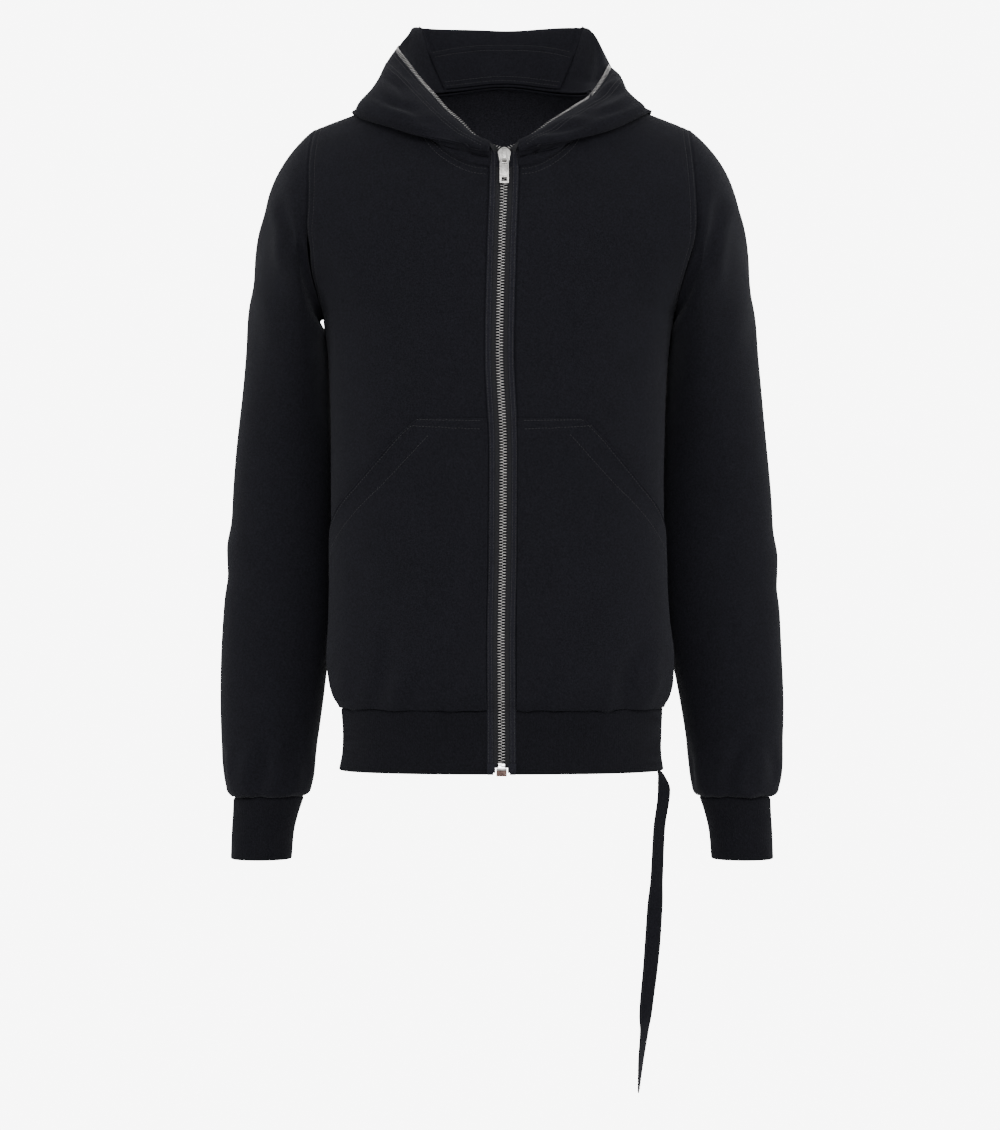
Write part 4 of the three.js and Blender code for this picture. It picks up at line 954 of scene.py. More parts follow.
def knit_look(name, dark, light, wale, course, depth, fuzz):
    """Knit cloth: wales, courses and a brushed, slightly mottled face."""
    look = Look(name, Roughness=0.95, Specular_IOR_Level=0.1, Sheen_Weight=0.05, Sheen_Roughness=0.4,
                Sheen_Tint=(0.62, 0.64, 0.72, 1))
    uv = look.node("ShaderNodeUVMap").outputs["UV"]
    place = look.node("ShaderNodeTexCoord").outputs["Object"]
    mottle = look.noise(place, 34.0, 4.0, 0.6)
    fleck = look.noise(place, 620.0, 3.0, 0.75)
    grain = look.noise(place, 1100.0, 3.0, 0.65)
    wales = wave(look, along(look, uv, 0), wale)
    courses = wave(look, along(look, uv, 1), course)
    stitch = look.math("MULTIPLY", wales, look.math("ADD", look.math("MULTIPLY", courses, 0.45), 0.55))
    shade = look.math("ADD", look.range(mottle, 0.3, 0.7, -0.05, 0.05), look.range(fleck, 0.36, 0.64, 0.0, 0.54))
    shade = look.math("ADD", shade, look.range(grain, 0.3, 0.7, 0.0, 0.35))
    shade = look.math("ADD", shade, look.math("MULTIPLY", stitch, 0.15))
    look.colour(look.mix(shade, dark, light))
    look.rough(look.range(grain, 0.2, 0.8, 0.86, 0.98))
    knit = look.bump(stitch, depth, 0.8)
    look.normal(look.bump(grain, fuzz, 0.7, after=knit))
    return look.material


def tape_look():
    """Woven herringbone twill, its ribs turning every few millimetres."""
    look = Look("zip tape", Roughness=0.75, Specular_IOR_Level=0.35)
    uv = look.node("ShaderNodeUVMap").outputs["UV"]
    across, up = along(look, uv, 0), along(look, uv, 1)
    zig = look.math("PINGPONG", across, 0.0024)
    twill = wave(look, look.math("ADD", up, zig), 0.0013)
    place = look.node("ShaderNodeTexCoord").outputs["Object"]
    grain = look.noise(place, 1400.0, 2.0)
    look.colour(look.mix(look.math("MULTIPLY", twill, look.range(grain, 0.2, 0.8, 0.6, 1.0)),
                         tint(3, 3, 5), tint(32, 32, 38)))
    look.normal(look.bump(twill, 0.0003, 0.9))
    return look.material


def thread_look():
    look = Look("thread", Roughness=0.7, Specular_IOR_Level=0.3, Sheen_Weight=0.1)
    place = look.node("ShaderNodeTexCoord").outputs["Object"]
    twist = look.noise(place, 2600.0, 2.0)
    look.colour(look.mix(twist, tint(11, 11, 14), tint(28, 28, 34)))
    look.normal(look.bump(twist, 0.0001, 0.6))
    return look.material


def metal_look(name, dark, light, roughness):
    """Plated metal with a slightly uneven polish and faint tarnish."""
    look = Look(name, Metallic=1.0)
    place = look.node("ShaderNodeTexCoord").outputs["Object"]
    cloud = look.noise(place, 260.0, 3.0, 0.6)
    scratch = look.noise(place, 2400.0, 2.0, 0.7)
    look.colour(look.mix(look.range(cloud, 0.3, 0.75), light, dark))
    look.rough(look.range(scratch, 0.2, 0.8, roughness * 0.7, roughness * 1.35))
    look.normal(look.bump(scratch, 0.00003, 0.5))
    return look.material


FLEECE_LOOK = knit_look("fleece", tint(6, 6, 9), tint(25, 25, 31), 0.0011, 0.0014, 0.00022, 0.00035)
# Inner faces: brushed fleece is a little lighter, and this tint is lifted further as painted light on the shaded
# inside
BRUSHED_INSIDE_PAINTED_LIGHT_LOOK = knit_look("brushed inside with painted light", tint(22, 22, 26), tint(58, 58, 66), 0.0016, 0.0018, 0.0003, 0.0006)
STRIP_LOOK = knit_look("zip strip", tint(13, 13, 17), tint(35, 35, 42), 0.0011, 0.0014, 0.0002, 0.0003)
RIB_LOOK = knit_look("rib knit", tint(5, 5, 8), tint(22, 22, 27), 0.0013, 0.0016, 0.0002, 0.0003)
TAPE_LOOK = tape_look()
THREAD_LOOK = thread_look()
NICKEL_LOOK = metal_look("nickel", (0.30, 0.29, 0.28, 1), (0.66, 0.65, 0.63, 1), 0.3)
TEETH_LOOK = metal_look("zip teeth", (0.20, 0.19, 0.19, 1), (0.52, 0.51, 0.50, 1), 0.34)
BOX_LOOK = metal_look("worn box", (0.06, 0.035, 0.03, 1), (0.24, 0.16, 0.14, 1), 0.4)


def resample(places, ways, step, start=0.0):
    """Points, directions out and directions along, a step apart down a line."""
    run = run_along(places)
    at = np.arange(start, run[-1], step)
    n = unit(read_off(at, run, ways))
    t = read_off(at + 0.5, run, places) - read_off(at - 0.5, run, places)
    return read_off(at, run, places), n, unit(t - n * (t * n).sum(axis=1, keepdims=True))


def place_copies(vertices, faces, points, outs, alongs):
    """One small form repeated at points. Its x runs across, its y along and its z out."""
    across = np.cross(alongs, outs)
    all_vertices = (points[:, None] + vertices[None, :, :1] * across[:, None]
                    + vertices[None, :, 1:2] * alongs[:, None] + vertices[None, :, 2:] * outs[:, None])
    steps = len(vertices) * np.arange(len(points))[:, None]
    all_faces = []
    for face in faces:
        all_faces.extend((np.array(face)[None] + steps).tolist())
    return all_vertices.reshape(-1, 3), all_faces


def stitch_form(length=2.5, wide=0.62, high=0.42, sink=0.1):
    """A short length of thread that bows out of the cloth and dips at its ends."""
    sides = 6
    vertices, faces = [], []
    for share, size in ((-0.5, 0.35), (-0.34, 0.85), (0, 1.0), (0.34, 0.85), (0.5, 0.35)):
        lift = high * (1 - (2 * share) ** 2) * 0.75 - sink
        for k in range(sides):
            turn = 2 * math.pi * k / sides
            vertices.append((wide / 2 * size * math.cos(turn), share * length,
                             lift + high / 2 * size * math.sin(turn)))
    for r in range(4):
        for k in range(sides):
            a, b = r * sides + k, r * sides + (k + 1) % sides
            faces.append((a, b, b + sides, a + sides))
    faces.append(tuple(range(sides))[::-1])
    faces.append(tuple(4 * sides + k for k in range(sides)))
    return np.array(vertices), faces


STITCH_PITCH = 3.3
stitch_lines = {}


def stitch(group, line, lift=0.0, pitch=STITCH_PITCH):
    """Adds a line of stitches to a group, which becomes one piece."""
    places, ways = line
    p, n, t = resample(places, ways, pitch, pitch / 2)
    stitch_lines.setdefault(group, []).append((p + n * lift, n, t))


def make_stitches():
    vertices, faces = stitch_form()
    for group, lines in stitch_lines.items():
        p, n, t = (np.concatenate([line[k] for line in lines]) for k in range(3))
        all_vertices, all_faces = place_copies(vertices, faces, p, n, t)
        mesh_object(f"stitching_{group}", all_vertices, all_faces, THREAD_LOOK)


def bevelled_box(wide, long, high, bevel, shift=0.0):
    """Corners and faces of a box with its edges cut off, x from shift."""
    vertices, faces = [], []
    signs = [(-1, -1, -1), (1, -1, -1), (1, 1, -1), (-1, 1, -1), (-1, -1, 1), (1, -1, 1), (1, 1, 1), (-1, 1, 1)]
    size = np.array([wide, long, high]) / 2
    index = {}
    for corner, sign in enumerate(signs):
        for axis in range(3):
            p = np.array(sign) * (size - bevel)
            p[axis] = sign[axis] * size[axis]
            index[(corner, axis)] = len(vertices)
            vertices.append((p[0] + shift, p[1], p[2]))
    sides = {0: ((0, 3, 7, 4), (1, 2, 6, 5)), 1: ((0, 1, 5, 4), (3, 2, 6, 7)), 2: ((0, 1, 2, 3), (4, 5, 6, 7))}
    for axis, pair in sides.items():
        for ring in pair:
            faces.append(tuple(index[(c, axis)] for c in ring))
    for a in range(8):
        faces.append(tuple(index[(a, axis)] for axis in range(3)))
        for axis in range(3):
            b = next(k for k, s in enumerate(signs)
                     if all((s[m] != signs[a][m]) == (m == axis) for m in range(3)))
            if a < b:
                one, two = [m for m in range(3) if m != axis]
                faces.append((index[(a, one)], index[(b, one)], index[(b, two)], index[(a, two)]))
    vertices = np.array(vertices)
    centre = vertices.mean(axis=0)
    turned = []
    for face in faces:
        p = vertices[list(face)]
        normal = np.cross(p[1] - p[0], p[2] - p[0])
        turned.append(face if normal @ (p.mean(axis=0) - centre) > 0 else face[::-1])
    return vertices, turned


def sweep(name, points, across, out, section, material, nodes):
    """A closed section carried along a line of frames, in place of its frame nodes."""
    section = np.array(section)
    rows, wide = len(points), len(section)
    vertices = (points[:, None] + section[None, :, :1] * across[:, None]
                + section[None, :, 1:] * out[:, None]).reshape(-1, 3)
    ring = np.concatenate([section, section[:1]])
    u, v = run_along(ring) * MM, run_along(points) * MM
    faces, uvs = [], []
    for j in range(rows - 1):
        for i in range(wide):
            n = (i + 1) % wide
            faces.append((j * wide + i, j * wide + n, (j + 1) * wide + n, (j + 1) * wide + i))
            uvs += [(u[i], v[j]), (u[i + 1], v[j]), (u[i + 1], v[j + 1]), (u[i], v[j + 1])]
    last = (rows - 1) * wide
    faces.append(tuple(range(wide))[::-1])
    uvs += [tuple(s * MM) for s in section[::-1]]
    faces.append(tuple(last + i for i in range(wide)))
    uvs += [tuple(s * MM) for s in section]
    piece = mesh_object(name, vertices, faces, material, uvs)
    face_out(piece)
    if nodes:
        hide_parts(*nodes)
    return piece


def face_out(piece):
    """Turns a closed piece's faces outward."""
    mesh = bmesh.new()
    mesh.from_mesh(piece.data)
    bmesh.ops.recalc_face_normals(mesh, faces=mesh.faces)
    mesh.to_mesh(piece.data)
    mesh.free()


def rounded(start, end, low, high, corner, crown=0.0):
    """Outline of a flat strip with round corners and a slightly full face."""
    middle = (start + end) / 2
    outline = []
    for cx, cy, first in ((end, high, 0), (start, high, 90), (start, low, 180), (end, low, 270)):
        sx, sy = (1 if cx == end else -1), (1 if cy == high else -1)
        for k in range(4):
            turn = math.radians(first + 30 * k)
            outline.append((cx - sx * corner + corner * math.cos(turn), cy - sy * corner + corner * math.sin(turn)))
        if first == 0:
            outline.append((middle, high + crown))
    return outline


def zip_frames(z):
    """Points, ways across and ways out down the middle of the front."""
    z = np.asarray(z, float)
    middle = np.zeros_like(z)
    points = np.stack([wander(middle, z), body_depth(middle, z, -1), z], axis=1)
    run = body_depth(middle, z + 4, -1) - body_depth(middle, z - 4, -1)
    along_zip = unit(np.stack([middle, run, np.full_like(z, 8)], axis=1))
    across = np.tile([1.0, 0, 0], (len(z), 1))
    return points, across, -np.cross(along_zip, across)


def cut(piece, sheet, held, rests_on=(), with_pieces=()):
    """Does nothing with the piece of cloth or its sheet."""


TORSO_STEP = 4.4
SLEEVE_STEP = 4.6
HOOD_STEP = 3.2
ARMPIT = {"pull": 6.0, "z": -243, "high": 15, "within": 198, "fade": 14}
HEM_RIPPLE = (2.0, 13)
CUFF_RIPPLE = (0.7, 6)
RIPPLE_REACH = 16
FRONT_UNEVEN = (130, 0.9)
BESIDE_ZIP = 14
RIB_PITCH = 2.6
RIB_HEIGHT = 0.2
DOUBLE = (2.0, 8.0)
SINGLE = (2.0,)


def sew_side(sheet, edge):
    """Plain side seam up to the underarm, and the armhole's double stitching above it."""
    high = smooth((sheet.points[..., 2] - UNDERARM + 6) / 12)
    return sew(sheet, edge, DOUBLE) * high + sew(sheet, edge) * (1 - high)


def make_body():
    """Fronts and back, with their seams, topstitching and creases."""
    fronts = {}
    for side in (-1, 1):
        name = side_name(side)
        control = front_points(side)
        sheet = Sheet(control, evenly(TORSO_STEP, True, True), evenly(TORSO_STEP, True, True), side)
        start = int(np.argmax(sheet.points[:, -1, 2] > UNDERARM))
        ripple(sheet, sheet.from_bottom, *HEM_RIPPLE)
        offset = crease_offset(sheet) + unevenness(sheet.points, *FRONT_UNEVEN, 11 + side)
        offset *= smooth(sheet.from_first / BESIDE_ZIP)
        offset += sew(sheet, "first") + sew(sheet, "bottom", SINGLE) + sew(sheet, "top", DOUBLE)
        offset += sew_side(sheet, "last")
        sheet.move(offset)
        cloth = shell(f"front_cloth_{name}", sheet, CLOTH, FLEECE_LOOK, [f"front_{name}"], low=-CLOTH,
                      inside=BRUSHED_INSIDE_PAINTED_LIGHT_LOOK)
        cut(cloth, sheet, "hung")
        for away in DOUBLE:
            stitch(f"body_{name}", sheet.edge_line("last", away, (start + 3, 5)))
            stitch(f"body_{name}", sheet.edge_line("top", away, (4, 8)))
        stitch(f"body_{name}", sheet.edge_line("bottom", SINGLE[0], (1, 1)))
        fronts[side] = control
    control = back_points()
    sheet = Sheet(control, evenly(TORSO_STEP, True, True), evenly(TORSO_STEP, True, True), -1)
    above = int(np.argmax(sheet.points[:, 0, 2] > UNDERARM))
    ripple(sheet, sheet.from_bottom, *HEM_RIPPLE)
    offset = crease_offset(sheet) + unevenness(sheet.points, 140, 1.0, 21)
    offset += sew(sheet, "bottom", SINGLE) + sew(sheet, "top", DOUBLE)
    sheet.move(offset + sew_side(sheet, "first") + sew_side(sheet, "last"))
    cloth = shell("back_cloth", sheet, CLOTH, FLEECE_LOOK, ["back"], low=-CLOTH, inside=BRUSHED_INSIDE_PAINTED_LIGHT_LOOK)
    cut(cloth, sheet, "hung")
    for away in DOUBLE:
        for edge in ("first", "last"):
            stitch("back", sheet.edge_line(edge, away, (above + 3, 5)))
        stitch("back", sheet.edge_line("top", away, (5, 5)))
    stitch("back", sheet.edge_line("bottom", SINGLE[0], (1, 1)))
    return fronts, control


def close_armpit(sheet, side):
    """Brings the sleeve in against the body just under the arm."""
    x, z = side * sheet.points[..., 0], sheet.points[..., 2]
    pull = ARMPIT["pull"] * valley(z, ARMPIT["z"], ARMPIT["high"])
    sheet.points[..., 0] -= side * pull * smooth((ARMPIT["within"] - x) / ARMPIT["fade"])
    sheet.measure()


def make_sleeves(fronts, back):
    for side in (-1, 1):
        name = side_name(side)
        control = sleeve_points(side, fronts[side], back)
        sheet = Sheet(control, evenly(SLEEVE_STEP, True, True), SLEEVE_STEP, side, around=True)
        ripple(sheet, sheet.from_top, *CUFF_RIPPLE)
        close_armpit(sheet, side)
        offset = crease_offset(sheet) + unevenness(sheet.points, 120, 1.0, 31 + side)
        offset *= smooth(sheet.from_bottom / 10) * smooth(sheet.from_top / 6)
        offset += sew(sheet, "bottom") + sew(sheet, "top", SINGLE)
        sheet.move(offset)
        cloth = shell(f"sleeve_cloth_{name}", sheet, CLOTH, FLEECE_LOOK, [f"sleeve_{name}"], low=-CLOTH,
                      inside=BRUSHED_INSIDE_PAINTED_LIGHT_LOOK)
        cut(cloth, sheet, "hung")
        stitch(f"sleeve_{name}", sheet.edge_line("top", SINGLE[0]))
        wrist = Sheet(cuff_points(side), evenly(4.5, True, False), RIB_PITCH / 3, side, around=True)
        ripple(wrist, wrist.from_bottom, *CUFF_RIPPLE)
        rib(wrist)
        wrist.move(sew(wrist, "bottom"))
        cloth = shell(f"cuff_rib_{name}", wrist, RIB, RIB_LOOK, [f"cuff_{name}"], low=-RIB)
        cut(cloth, wrist, "stretched")


def rib(sheet):
    """Raises the ribs of a knit band, a whole number of them where it runs round."""
    length = float(sheet.from_first[:, -1].mean())
    count = round(length / RIB_PITCH)
    share = sheet.from_first / sheet.from_first[:, -1:]
    sheet.move(RIB_HEIGHT * (np.cos(2 * np.pi * count * share) - 1))


def make_band():
    band = Sheet(band_points(), evenly(5.5, False, True), evenly(RIB_PITCH / 3), 1)
    ripple(band, band.from_top, *HEM_RIPPLE)
    rib(band)
    band.move(sew(band, "top") + unevenness(band.points, 90, 0.5, 41))
    cut(shell("hem_rib", band, RIB, RIB_LOOK, ["hem_band"], low=-RIB), band, "stretched")


# Pockets: foot, rows near the top, the fronts' columns, gap beside the zip, stitch lines, hem and gape of the mouth
POCKET_FOOT = -638.3
POCKET_TOP_STEPS = (12, 10, 9, 8, 6, 4, 2.6, 2, 1.2, 0.5, 0)
POCKET_COLUMNS = 12
POCKET_INSET = 0.06
POCKET_LINES = (2.0, 10.0)
MOUTH_STITCH = 2.2
MOUTH_HEM = 31.0
GAPE = 3.0


def opening_column(z):
    """Column of the front panel that the pocket's edge lies on, by height."""
    side, top = FRONT_ROWS.index(POCKET_SIDE), FRONT_ROWS.index(POCKET_TOP)
    row = np.interp(z, FRONT_ROWS[side:top + 1], np.arange(side, top + 1))
    return POCKET_COLUMNS - (row - side)


def make_pockets():
    columns = len(FRONT_NECK) - 1 + SHOULDER_STEPS
    low, high = np.linspace(POCKET_FOOT, POCKET_SIDE, 44), np.linspace(POCKET_SIDE, POCKET_TOP, 43)
    heights = np.sort(np.concatenate([low, high[1:-3], POCKET_TOP - np.array(POCKET_TOP_STEPS)]))
    for side in (-1, 1):
        name = side_name(side)
        start = share_at(PANEL_EDGE, UNDERARM, side)
        rows = []
        for z in heights:
            limit = opening_column(z) - (POCKET_INSET if z < POCKET_SIDE else 0)
            shares = POCKET_INSET + (limit - POCKET_INSET) * np.sin(np.linspace(0, np.pi / 2, 46)) ** 1.05
            row = []
            for c in shares:
                x = across_at(z, side, start + (1 - start) * c / columns)
                row.append(body_point(x, z, -1))
            rows.append(row)
        sheet = Sheet(np.array(rows), None, None, side)
        offset = crease_offset(sheet) + unevenness(sheet.points, *FRONT_UNEVEN, 11 + side)
        offset *= smooth(sheet.from_first / BESIDE_ZIP)
        offset += sew(sheet, "top", POCKET_LINES) * 0.8 + sew(sheet, "first")
        z = sheet.points[..., 2]
        gape = smooth((z - POCKET_SIDE - 6) / 40) * smooth((POCKET_TOP - 4 - z) / 30)
        offset += GAPE * np.exp(-sheet.from_last / 9) * gape
        for inside, wide, lowest in ((MOUTH_HEM, 1.3, POCKET_SIDE - 30), (MOUTH_STITCH, 1.0, POCKET_SIDE)):
            offset -= STITCH_DEPTH * valley(sheet.from_last, inside, wide) * (z[:, -1:] > lowest)
        sheet.move(offset)
        cloth = shell(f"pocket_cloth_{name}", sheet, POCKET_CLOTH, FLEECE_LOOK, [f"pocket_{name}"], low=LAY_GAP)
        cut(cloth, sheet, "laid", [f"front_cloth_{name}"])
        proud = LAY_GAP + POCKET_CLOTH
        for away in POCKET_LINES:
            stitch(f"pocket_{name}", sheet.edge_line("top", away, (2, 1)), proud)
        for inside, lowest, highest in ((MOUTH_STITCH, POCKET_SIDE + 6, POCKET_TOP - 4),
                                        (MOUTH_HEM, POCKET_SIDE - 34, POCKET_TOP - 13)):
            line = []
            for j, z in enumerate(heights):
                if lowest < z < highest:
                    away = inside * min(1.0, 1 - (POCKET_SIDE - z) / 40)
                    run = sheet.from_last[j][::-1]
                    line.append([read_off(away, run, rows[j, ::-1]) for rows in (sheet.points, sheet.normals)])
            places, ways = np.swapaxes(np.array(line), 0, 1)
            stitch(f"pocket_{name}", (places, ways), proud)


def make_hood():
    """Hood sides and middle, their zipped edges and the half moon inside."""
    halves = {side: hood_half(side) for side in (-1, 1)}
    for side in (-1, 1):
        name = side_name(side)
        control = np.swapaxes(halves[side][:HOOD_SEAM_COLUMN + 1], 0, 1)
        sheet = Sheet(control, evenly(HOOD_STEP, True, True), evenly(HOOD_STEP, False, True), side)
        offset = crease_offset(sheet) + unevenness(sheet.points, 70, 0.9, 51 + side)
        offset *= smooth(sheet.from_bottom / 12)
        offset *= smooth(sheet.from_top / 10)
        offset += sew(sheet, "bottom") + sew(sheet, "top", EDGE_LINES, 0.3) + sew(sheet, "last")
        sheet.move(offset)
        cut(shell(f"hood_cloth_{name}", sheet, CLOTH, FLEECE_LOOK, [f"hood_{name}"], low=-CLOTH), sheet, "folded")
        for away in EDGE_LINES:
            stitch("hood", sheet.edge_line("top", away, (2, 0)))
        make_edge_teeth(sheet, name, side)
    middle = np.concatenate([halves[-1][HOOD_SEAM_COLUMN:], halves[1][HOOD_SEAM_COLUMN:-1][::-1]])
    control = np.swapaxes(middle, 0, 1)
    both = evenly(HOOD_STEP, True, True)
    sheet = Sheet(control, both, both, -1)
    offset = unevenness(sheet.points, 80, 1.0, 55) * smooth(sheet.from_bottom / 12) * smooth(sheet.from_top / 10)
    offset += sew(sheet, "bottom") + sew(sheet, "top", EDGE_LINES, 0.3)
    offset += sew(sheet, "first", DOUBLE) + sew(sheet, "last", DOUBLE)
    sheet.move(offset)
    cut(shell("hood_cloth_center", sheet, CLOTH, FLEECE_LOOK, ["hood_center"], low=-CLOTH), sheet, "folded")
    for away in EDGE_LINES:
        stitch("hood", sheet.edge_line("top", away))
    for away in DOUBLE:
        stitch("hood", sheet.edge_line("first", away, (2, 2)))
        stitch("hood", sheet.edge_line("last", away, (2, 2)))
    make_edge_teeth(sheet, "center")
    make_facing(control)


EDGE_LINES = (3.0, 13.0, 17.0)
FACING_LINES = (2.0, 7.0)
TOOTH = {"wide": 4.0, "long": 1.15, "high": 2.2, "bevel": 0.3, "pitch": 2.97, "overlap": 0.35, "down": 1.8}
EDGE_TOOTH = {"wide": 4.3, "long": 0.85, "high": 1.3, "bevel": 0.2}
SLIDER_AT = -78
STRIP_TOP = -70
edge_teeth = []
edge_tapes = []


def make_edge_teeth(sheet, name, side=0):
    """Teeth and their tape along the zipped edge of one hood panel, down to the slider."""
    edge, inside = sheet.base[-1], sheet.base[-4]
    out = sheet.wall_normals[-1]
    away = edge - inside
    away = unit(away - out * (away * out).sum(axis=1, keepdims=True))
    places = edge - out * CLOTH / 2
    if side:
        middle, across, facing = zip_frames([SLIDER_AT + 5])
        first = middle + across * side * 6.2 - facing * CLOTH / 2
        turned = np.cross(places[:1] - first, facing)
        turned *= np.sign((turned * away[:1]).sum()) / np.linalg.norm(turned)
        places, away, out = (np.concatenate(pair) for pair in ((first, places), (turned, away), (facing, out)))
    p, o, _ = resample(places, out, TOOTH["pitch"], TOOTH["pitch"] / 2)
    run = run_along(places)
    a = read_off(np.arange(TOOTH["pitch"] / 2, run[-1], TOOTH["pitch"]), run, away)
    a = unit(a - o * (a * o).sum(axis=1, keepdims=True))
    edge_teeth.append((p + a * (0.6 + EDGE_TOOTH["wide"] / 2), o, np.cross(o, a)))
    edge_tapes.append((name, places, away, out))


def make_facing(middle):
    """The half moon inside the hood, as shares of the way up the inner cloth."""
    foot, ends, top, steps = 0.04, 0.62, 0.8, 4
    last = middle.shape[1] - 1
    rows = []
    for j in range(steps + 1):
        row = []
        for i in range(last + 1):
            arch = top - (top - ends) * (2 * i / last - 1) ** 2
            place = 2 * (foot + (arch - foot) * j / steps)
            k = int(place)
            row.append(middle[k][i] + (middle[k + 1][i] - middle[k][i]) * (place - k))
        rows.append(row)
    sheet = Sheet(np.array(rows), evenly(3, True, True), evenly(3), -1)
    sheet.move(-sew(sheet, "top", FACING_LINES))
    low = -CLOTH - LAY_GAP - FACING_CLOTH
    cut(shell("neck_facing_cloth", sheet, FACING_CLOTH, FLEECE_LOOK, ["neck_facing"], low=low), sheet, "laid",
        ["hood_cloth_center"])
    for edge, away in (("top", FACING_LINES[0]), ("top", FACING_LINES[1]), ("bottom", 3.0), ("bottom", 8.0)):
        places, ways = sheet.edge_line(edge, away, (1, 1))
        stitch("facing", (places, -ways), -low)


def make_zip():
    """Strips, tapes, teeth, box, slider and pull tab of the front zip."""
    points, across, out = zip_frames(np.linspace(STRIP_TOP, HEM - 1.5, 150))
    tape_points, tape_across, tape_out = zip_frames(np.linspace(CHAIN_TOP - 2, BOX_TOP, 150))
    for side in (-1, 1):
        name = side_name(side)
        strip = [(side * a, b) for a, b in rounded(*STRIP_FORM)]
        strip_cloth = sweep(f"strip_cloth_{name}", points, across, out, strip, STRIP_LOOK, [f"zip_strip_{name}"])
        low_end = single_box(f"tape_end_{name}", TAPE_END, (side * 10.6, 0.7, HEM + 5.2), STRIP_LOOK, "garment")
        tape = [(side * a, b) for a, b in rounded(*TAPE_FORM)]
        woven = sweep(f"tape_{name}", tape_points, tape_across, tape_out, tape, TAPE_LOOK, [f"zip_tape_{name}"])
        for at in STRIP_LINES:
            stitch("strips", (points + across * side * at, out), 0.15, 2.9)
    heights = np.arange(CHAIN_TOP - 1, BOX_TOP + 1, -TOOTH["pitch"])
    groups = []
    for side, shift in ((-1, 0), (1, TOOTH["pitch"] / 2)):
        p, a, o = zip_frames(heights - shift)
        vertices, faces = bevelled_box(TOOTH["wide"], TOOTH["long"], TOOTH["high"], TOOTH["bevel"],
                                       side * (TOOTH["wide"] / 2 - TOOTH["overlap"]))
        groups.append(place_copies(vertices, faces, p - o * TOOTH["down"], o, -np.cross(a, o)))
    vertices = np.concatenate([g[0] for g in groups])
    first = len(groups[0][0])
    faces = groups[0][1] + [tuple(v + first for v in face) for face in groups[1][1]]
    chain = mesh_object("zip_teeth", vertices, faces, TEETH_LOOK)
    face_out(chain)
    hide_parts("zip_chain")
    vertices, faces = bevelled_box(*EDGE_TOOTH.values())
    p, o, t = (np.concatenate([group[k] for group in edge_teeth]) for k in range(3))
    all_vertices, all_faces = place_copies(vertices, faces, p, o, t)
    teeth = mesh_object("hood_teeth", all_vertices, all_faces, TEETH_LOOK)
    face_out(teeth)
    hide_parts("hood_zip_right", "hood_zip_left")
    for name, places, away, ways in edge_tapes:
        woven = sweep(f"hood_tape_{name}", places, away, ways, rounded(*HOOD_TAPE_FORM), TAPE_LOOK, [])
    single_box("box_rim", BOX_RIM, (0, 0.2, BOX_TOP - 1.6), NICKEL_LOOK, "garment")
    for k, (x, z, wide, long) in enumerate(TAB_RIDGES):
        single_box(f"tab_ridge_{k}", (wide, long, 0.5, 0.12), (x, 4.5, SLIDER_AT + z), NICKEL_LOOK, "pull",
                   SLIDER_AT)
    for node, width, look in (("zip_slider", 0.4, NICKEL_LOOK), ("zip_pull", 0.28, NICKEL_LOOK),
                              ("zip_box", 0.45, BOX_LOOK)):
        polished(node, width, look)


def single_box(name, size, place, look, body, seat=None):
    """One small box on the zip, its place given as across, out and height."""
    points, across, out = zip_frames([place[2] if seat is None else seat])
    up = -np.cross(across, out)
    rise = 0 if seat is None else place[2] - seat
    vertices, faces = bevelled_box(*size)
    middle = points + across * place[0] + out * place[1] + up * rise
    vertices, faces = place_copies(vertices, faces, middle, out, up)
    piece = mesh_object(name, vertices, faces, look, body=body)
    face_out(piece)
    return piece


# Sections beside the zip: start, end, low, high, corner and crown; their flat sizes are in metres
STRIP_FORM = (8.3, 14.6, -1.6, 0, 0.55, 0.35)
STRIP_LINES = (9.6, 13.1)
TAPE_FORM = (3.2, 13.6, -2.75, -1.95, 0.2)
HOOD_TAPE_FORM = (-6, 2.2, -0.5, 0.5, 0.2)
TAPE_END = (8.6, 9.4, 0.9, 0.3)
BOX_RIM = (10.2, 2.2, 4.6, 0.5)
# Raised border on the pull tab: across, up from the slider's middle, wide and long
TAB_RIDGES = [(-3.2, -19.2, 0.5, 12.4), (3.2, -19.2, 0.5, 12.4), (0, -13.2, 6.9, 0.5), (0, -25.2, 6.9, 0.5)]


def polished(node, width, look):
    """A metal node with its faces joined and its edges rounded."""
    mesh = bmesh.new()
    mesh.from_mesh(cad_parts[node].data)
    bmesh.ops.remove_doubles(mesh, verts=mesh.verts, dist=0.00001)
    bmesh.ops.dissolve_limit(mesh, angle_limit=math.radians(2), verts=mesh.verts, edges=mesh.edges)
    sharp = [e for e in mesh.edges if len(e.link_faces) == 2 and e.calc_face_angle(0) > math.radians(25)]
    bmesh.ops.bevel(mesh, geom=sharp, offset=width * MM, segments=3, profile=0.5, affect="EDGES",
                    clamp_overlap=True)
    data = bpy.data.meshes.new(f"{node}_metal")
    mesh.to_mesh(data)
    mesh.free()
    data.materials.clear()
    data.materials.append(look)
    data.polygons.foreach_set("use_smooth", np.ones(len(data.polygons), bool))
    piece = add_object(f"{node}_metal", data)
    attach(piece, "pull" if node == "zip_pull" else "garment")
    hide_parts(node)


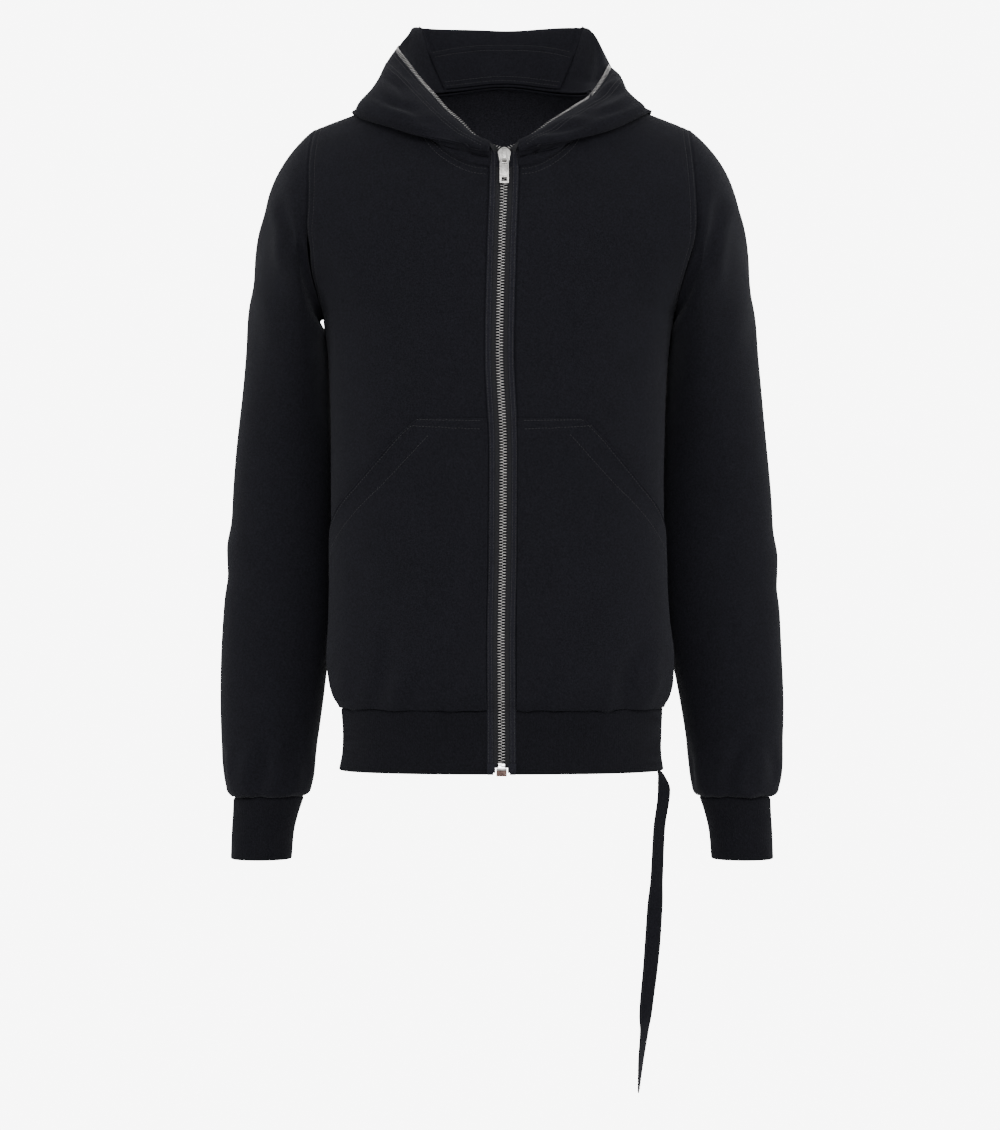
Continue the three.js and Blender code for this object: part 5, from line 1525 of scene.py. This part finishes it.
def make_strap():
    z = np.linspace(STRAP["z"][-1], STRAP["z"][0], 190)
    turn = np.radians(look_up(STRAP, "turn", z))
    points = np.stack([look_up(STRAP, "x", z), look_up(STRAP, "y", z), z], axis=1)
    across = np.stack([np.cos(turn), np.sin(turn), 0 * z], axis=1)
    out = np.stack([np.sin(turn), -np.cos(turn), 0 * z], axis=1)
    half = STRAP_WIDE / 2
    section = rounded(-half, half, -STRAP_CLOTH / 2, STRAP_CLOTH / 2, 0.5, 0.12)
    strap = sweep("strap_cloth", points, across, out, section, FLEECE_LOOK, ["strap"])
    for at in (-half + 1.8, half - 1.8):
        for face in (-1, 1):
            stitch("strap", (points + across * at, out * face), STRAP_CLOTH / 2 + 0.02, 3.0)


def make_stage():
    """A plain pale floor under the strap's end."""
    look = Look("stage", Roughness=0.95, Specular_IOR_Level=0.1)
    place = look.node("ShaderNodeTexCoord").outputs["Object"]
    look.colour(look.mix(look.noise(place, 2.0), (0.80, 0.80, 0.80, 1), (0.84, 0.84, 0.84, 1)))
    turns = np.linspace(0, 2 * np.pi, 96, endpoint=False)
    mesh = bpy.data.meshes.new("stage")
    mesh.from_pydata([(FLOOR["radius"] * math.cos(t), FLOOR["radius"] * math.sin(t), FLOOR["z"]) for t in turns],
                     [], [tuple(range(96))])
    mesh.materials.append(look.material)
    floor = add_object("stage", mesh)


def light(name, place, aim, size, power):
    data = bpy.data.lights.new(name, "AREA")
    data.shape = "RECTANGLE"
    data.size, data.size_y = size
    data.energy = power
    lamp = add_object(name, data)
    lamp.location = place
    way = np.array(aim) - np.array(place)
    yaw = math.atan2(way[0], -way[1])
    pitch = math.acos(-way[2] / np.linalg.norm(way))
    lamp.rotation_euler = (pitch, 0, yaw + math.pi)


def make_lights():
    middle = (0, 0, -0.4)
    light("front", (0.3, -3.4, 1.3), middle, (2.4, 1.6), LIGHTS["front"])
    light("left_side", (-2.6, -0.9, 0.2), middle, (0.8, 2.4), LIGHTS["side"])
    light("right_side", (2.6, -0.9, 0.2), middle, (0.8, 2.4), LIGHTS["side"])
    light("overhead", (0, 0.3, 2.2), middle, (2.0, 1.6), LIGHTS["top"])
    light("back", (0.4, 3.2, 0.9), middle, (2.4, 1.6), LIGHTS["back"])
    world = bpy.data.worlds.new("studio")
    world.use_nodes = True
    nodes, links = world.node_tree.nodes, world.node_tree.links
    lit = nodes["Background"]
    lit.inputs["Color"].default_value = (1, 1, 1, 1)
    lit.inputs["Strength"].default_value = LIGHTS["world"]
    seen = nodes.new("ShaderNodeBackground")
    seen.inputs["Color"].default_value = (1, 1, 1, 1)
    seen.inputs["Strength"].default_value = LIGHTS["backdrop"]
    straight = nodes.new("ShaderNodeLightPath")
    either = nodes.new("ShaderNodeMixShader")
    links.new(straight.outputs["Is Camera Ray"], either.inputs[0])
    links.new(lit.outputs[0], either.inputs[1])
    links.new(seen.outputs[0], either.inputs[2])
    links.new(either.outputs[0], nodes["World Output"].inputs["Surface"])
    bpy.context.scene.world = world


LIGHTS = {"front": 80, "side": 34, "top": 3, "back": 30, "world": 0.85, "backdrop": 8}
FLOOR = {"radius": 1.15, "z": -1.46}
CAMERA = {"x": -2.08, "y": -3600, "z": -492, "span": 1130 * 1.04, "sensor": 36}


def make_camera():
    data = bpy.data.cameras.new("camera")
    data.sensor_width = CAMERA["sensor"]
    data.lens = CAMERA["sensor"] * -CAMERA["y"] / CAMERA["span"]
    data.clip_end = 50
    camera = add_object("camera", data)
    camera.location = (CAMERA["x"] * MM, CAMERA["y"] * MM, CAMERA["z"] * MM)
    camera.rotation_euler = (math.radians(90), 0, 0)
    bpy.context.scene.camera = camera


make_camera()
make_stage()
make_lights()
fronts, back = make_body()
make_sleeves(fronts, back)
make_band()
make_pockets()
make_hood()
make_zip()
make_strap()
make_stitches()
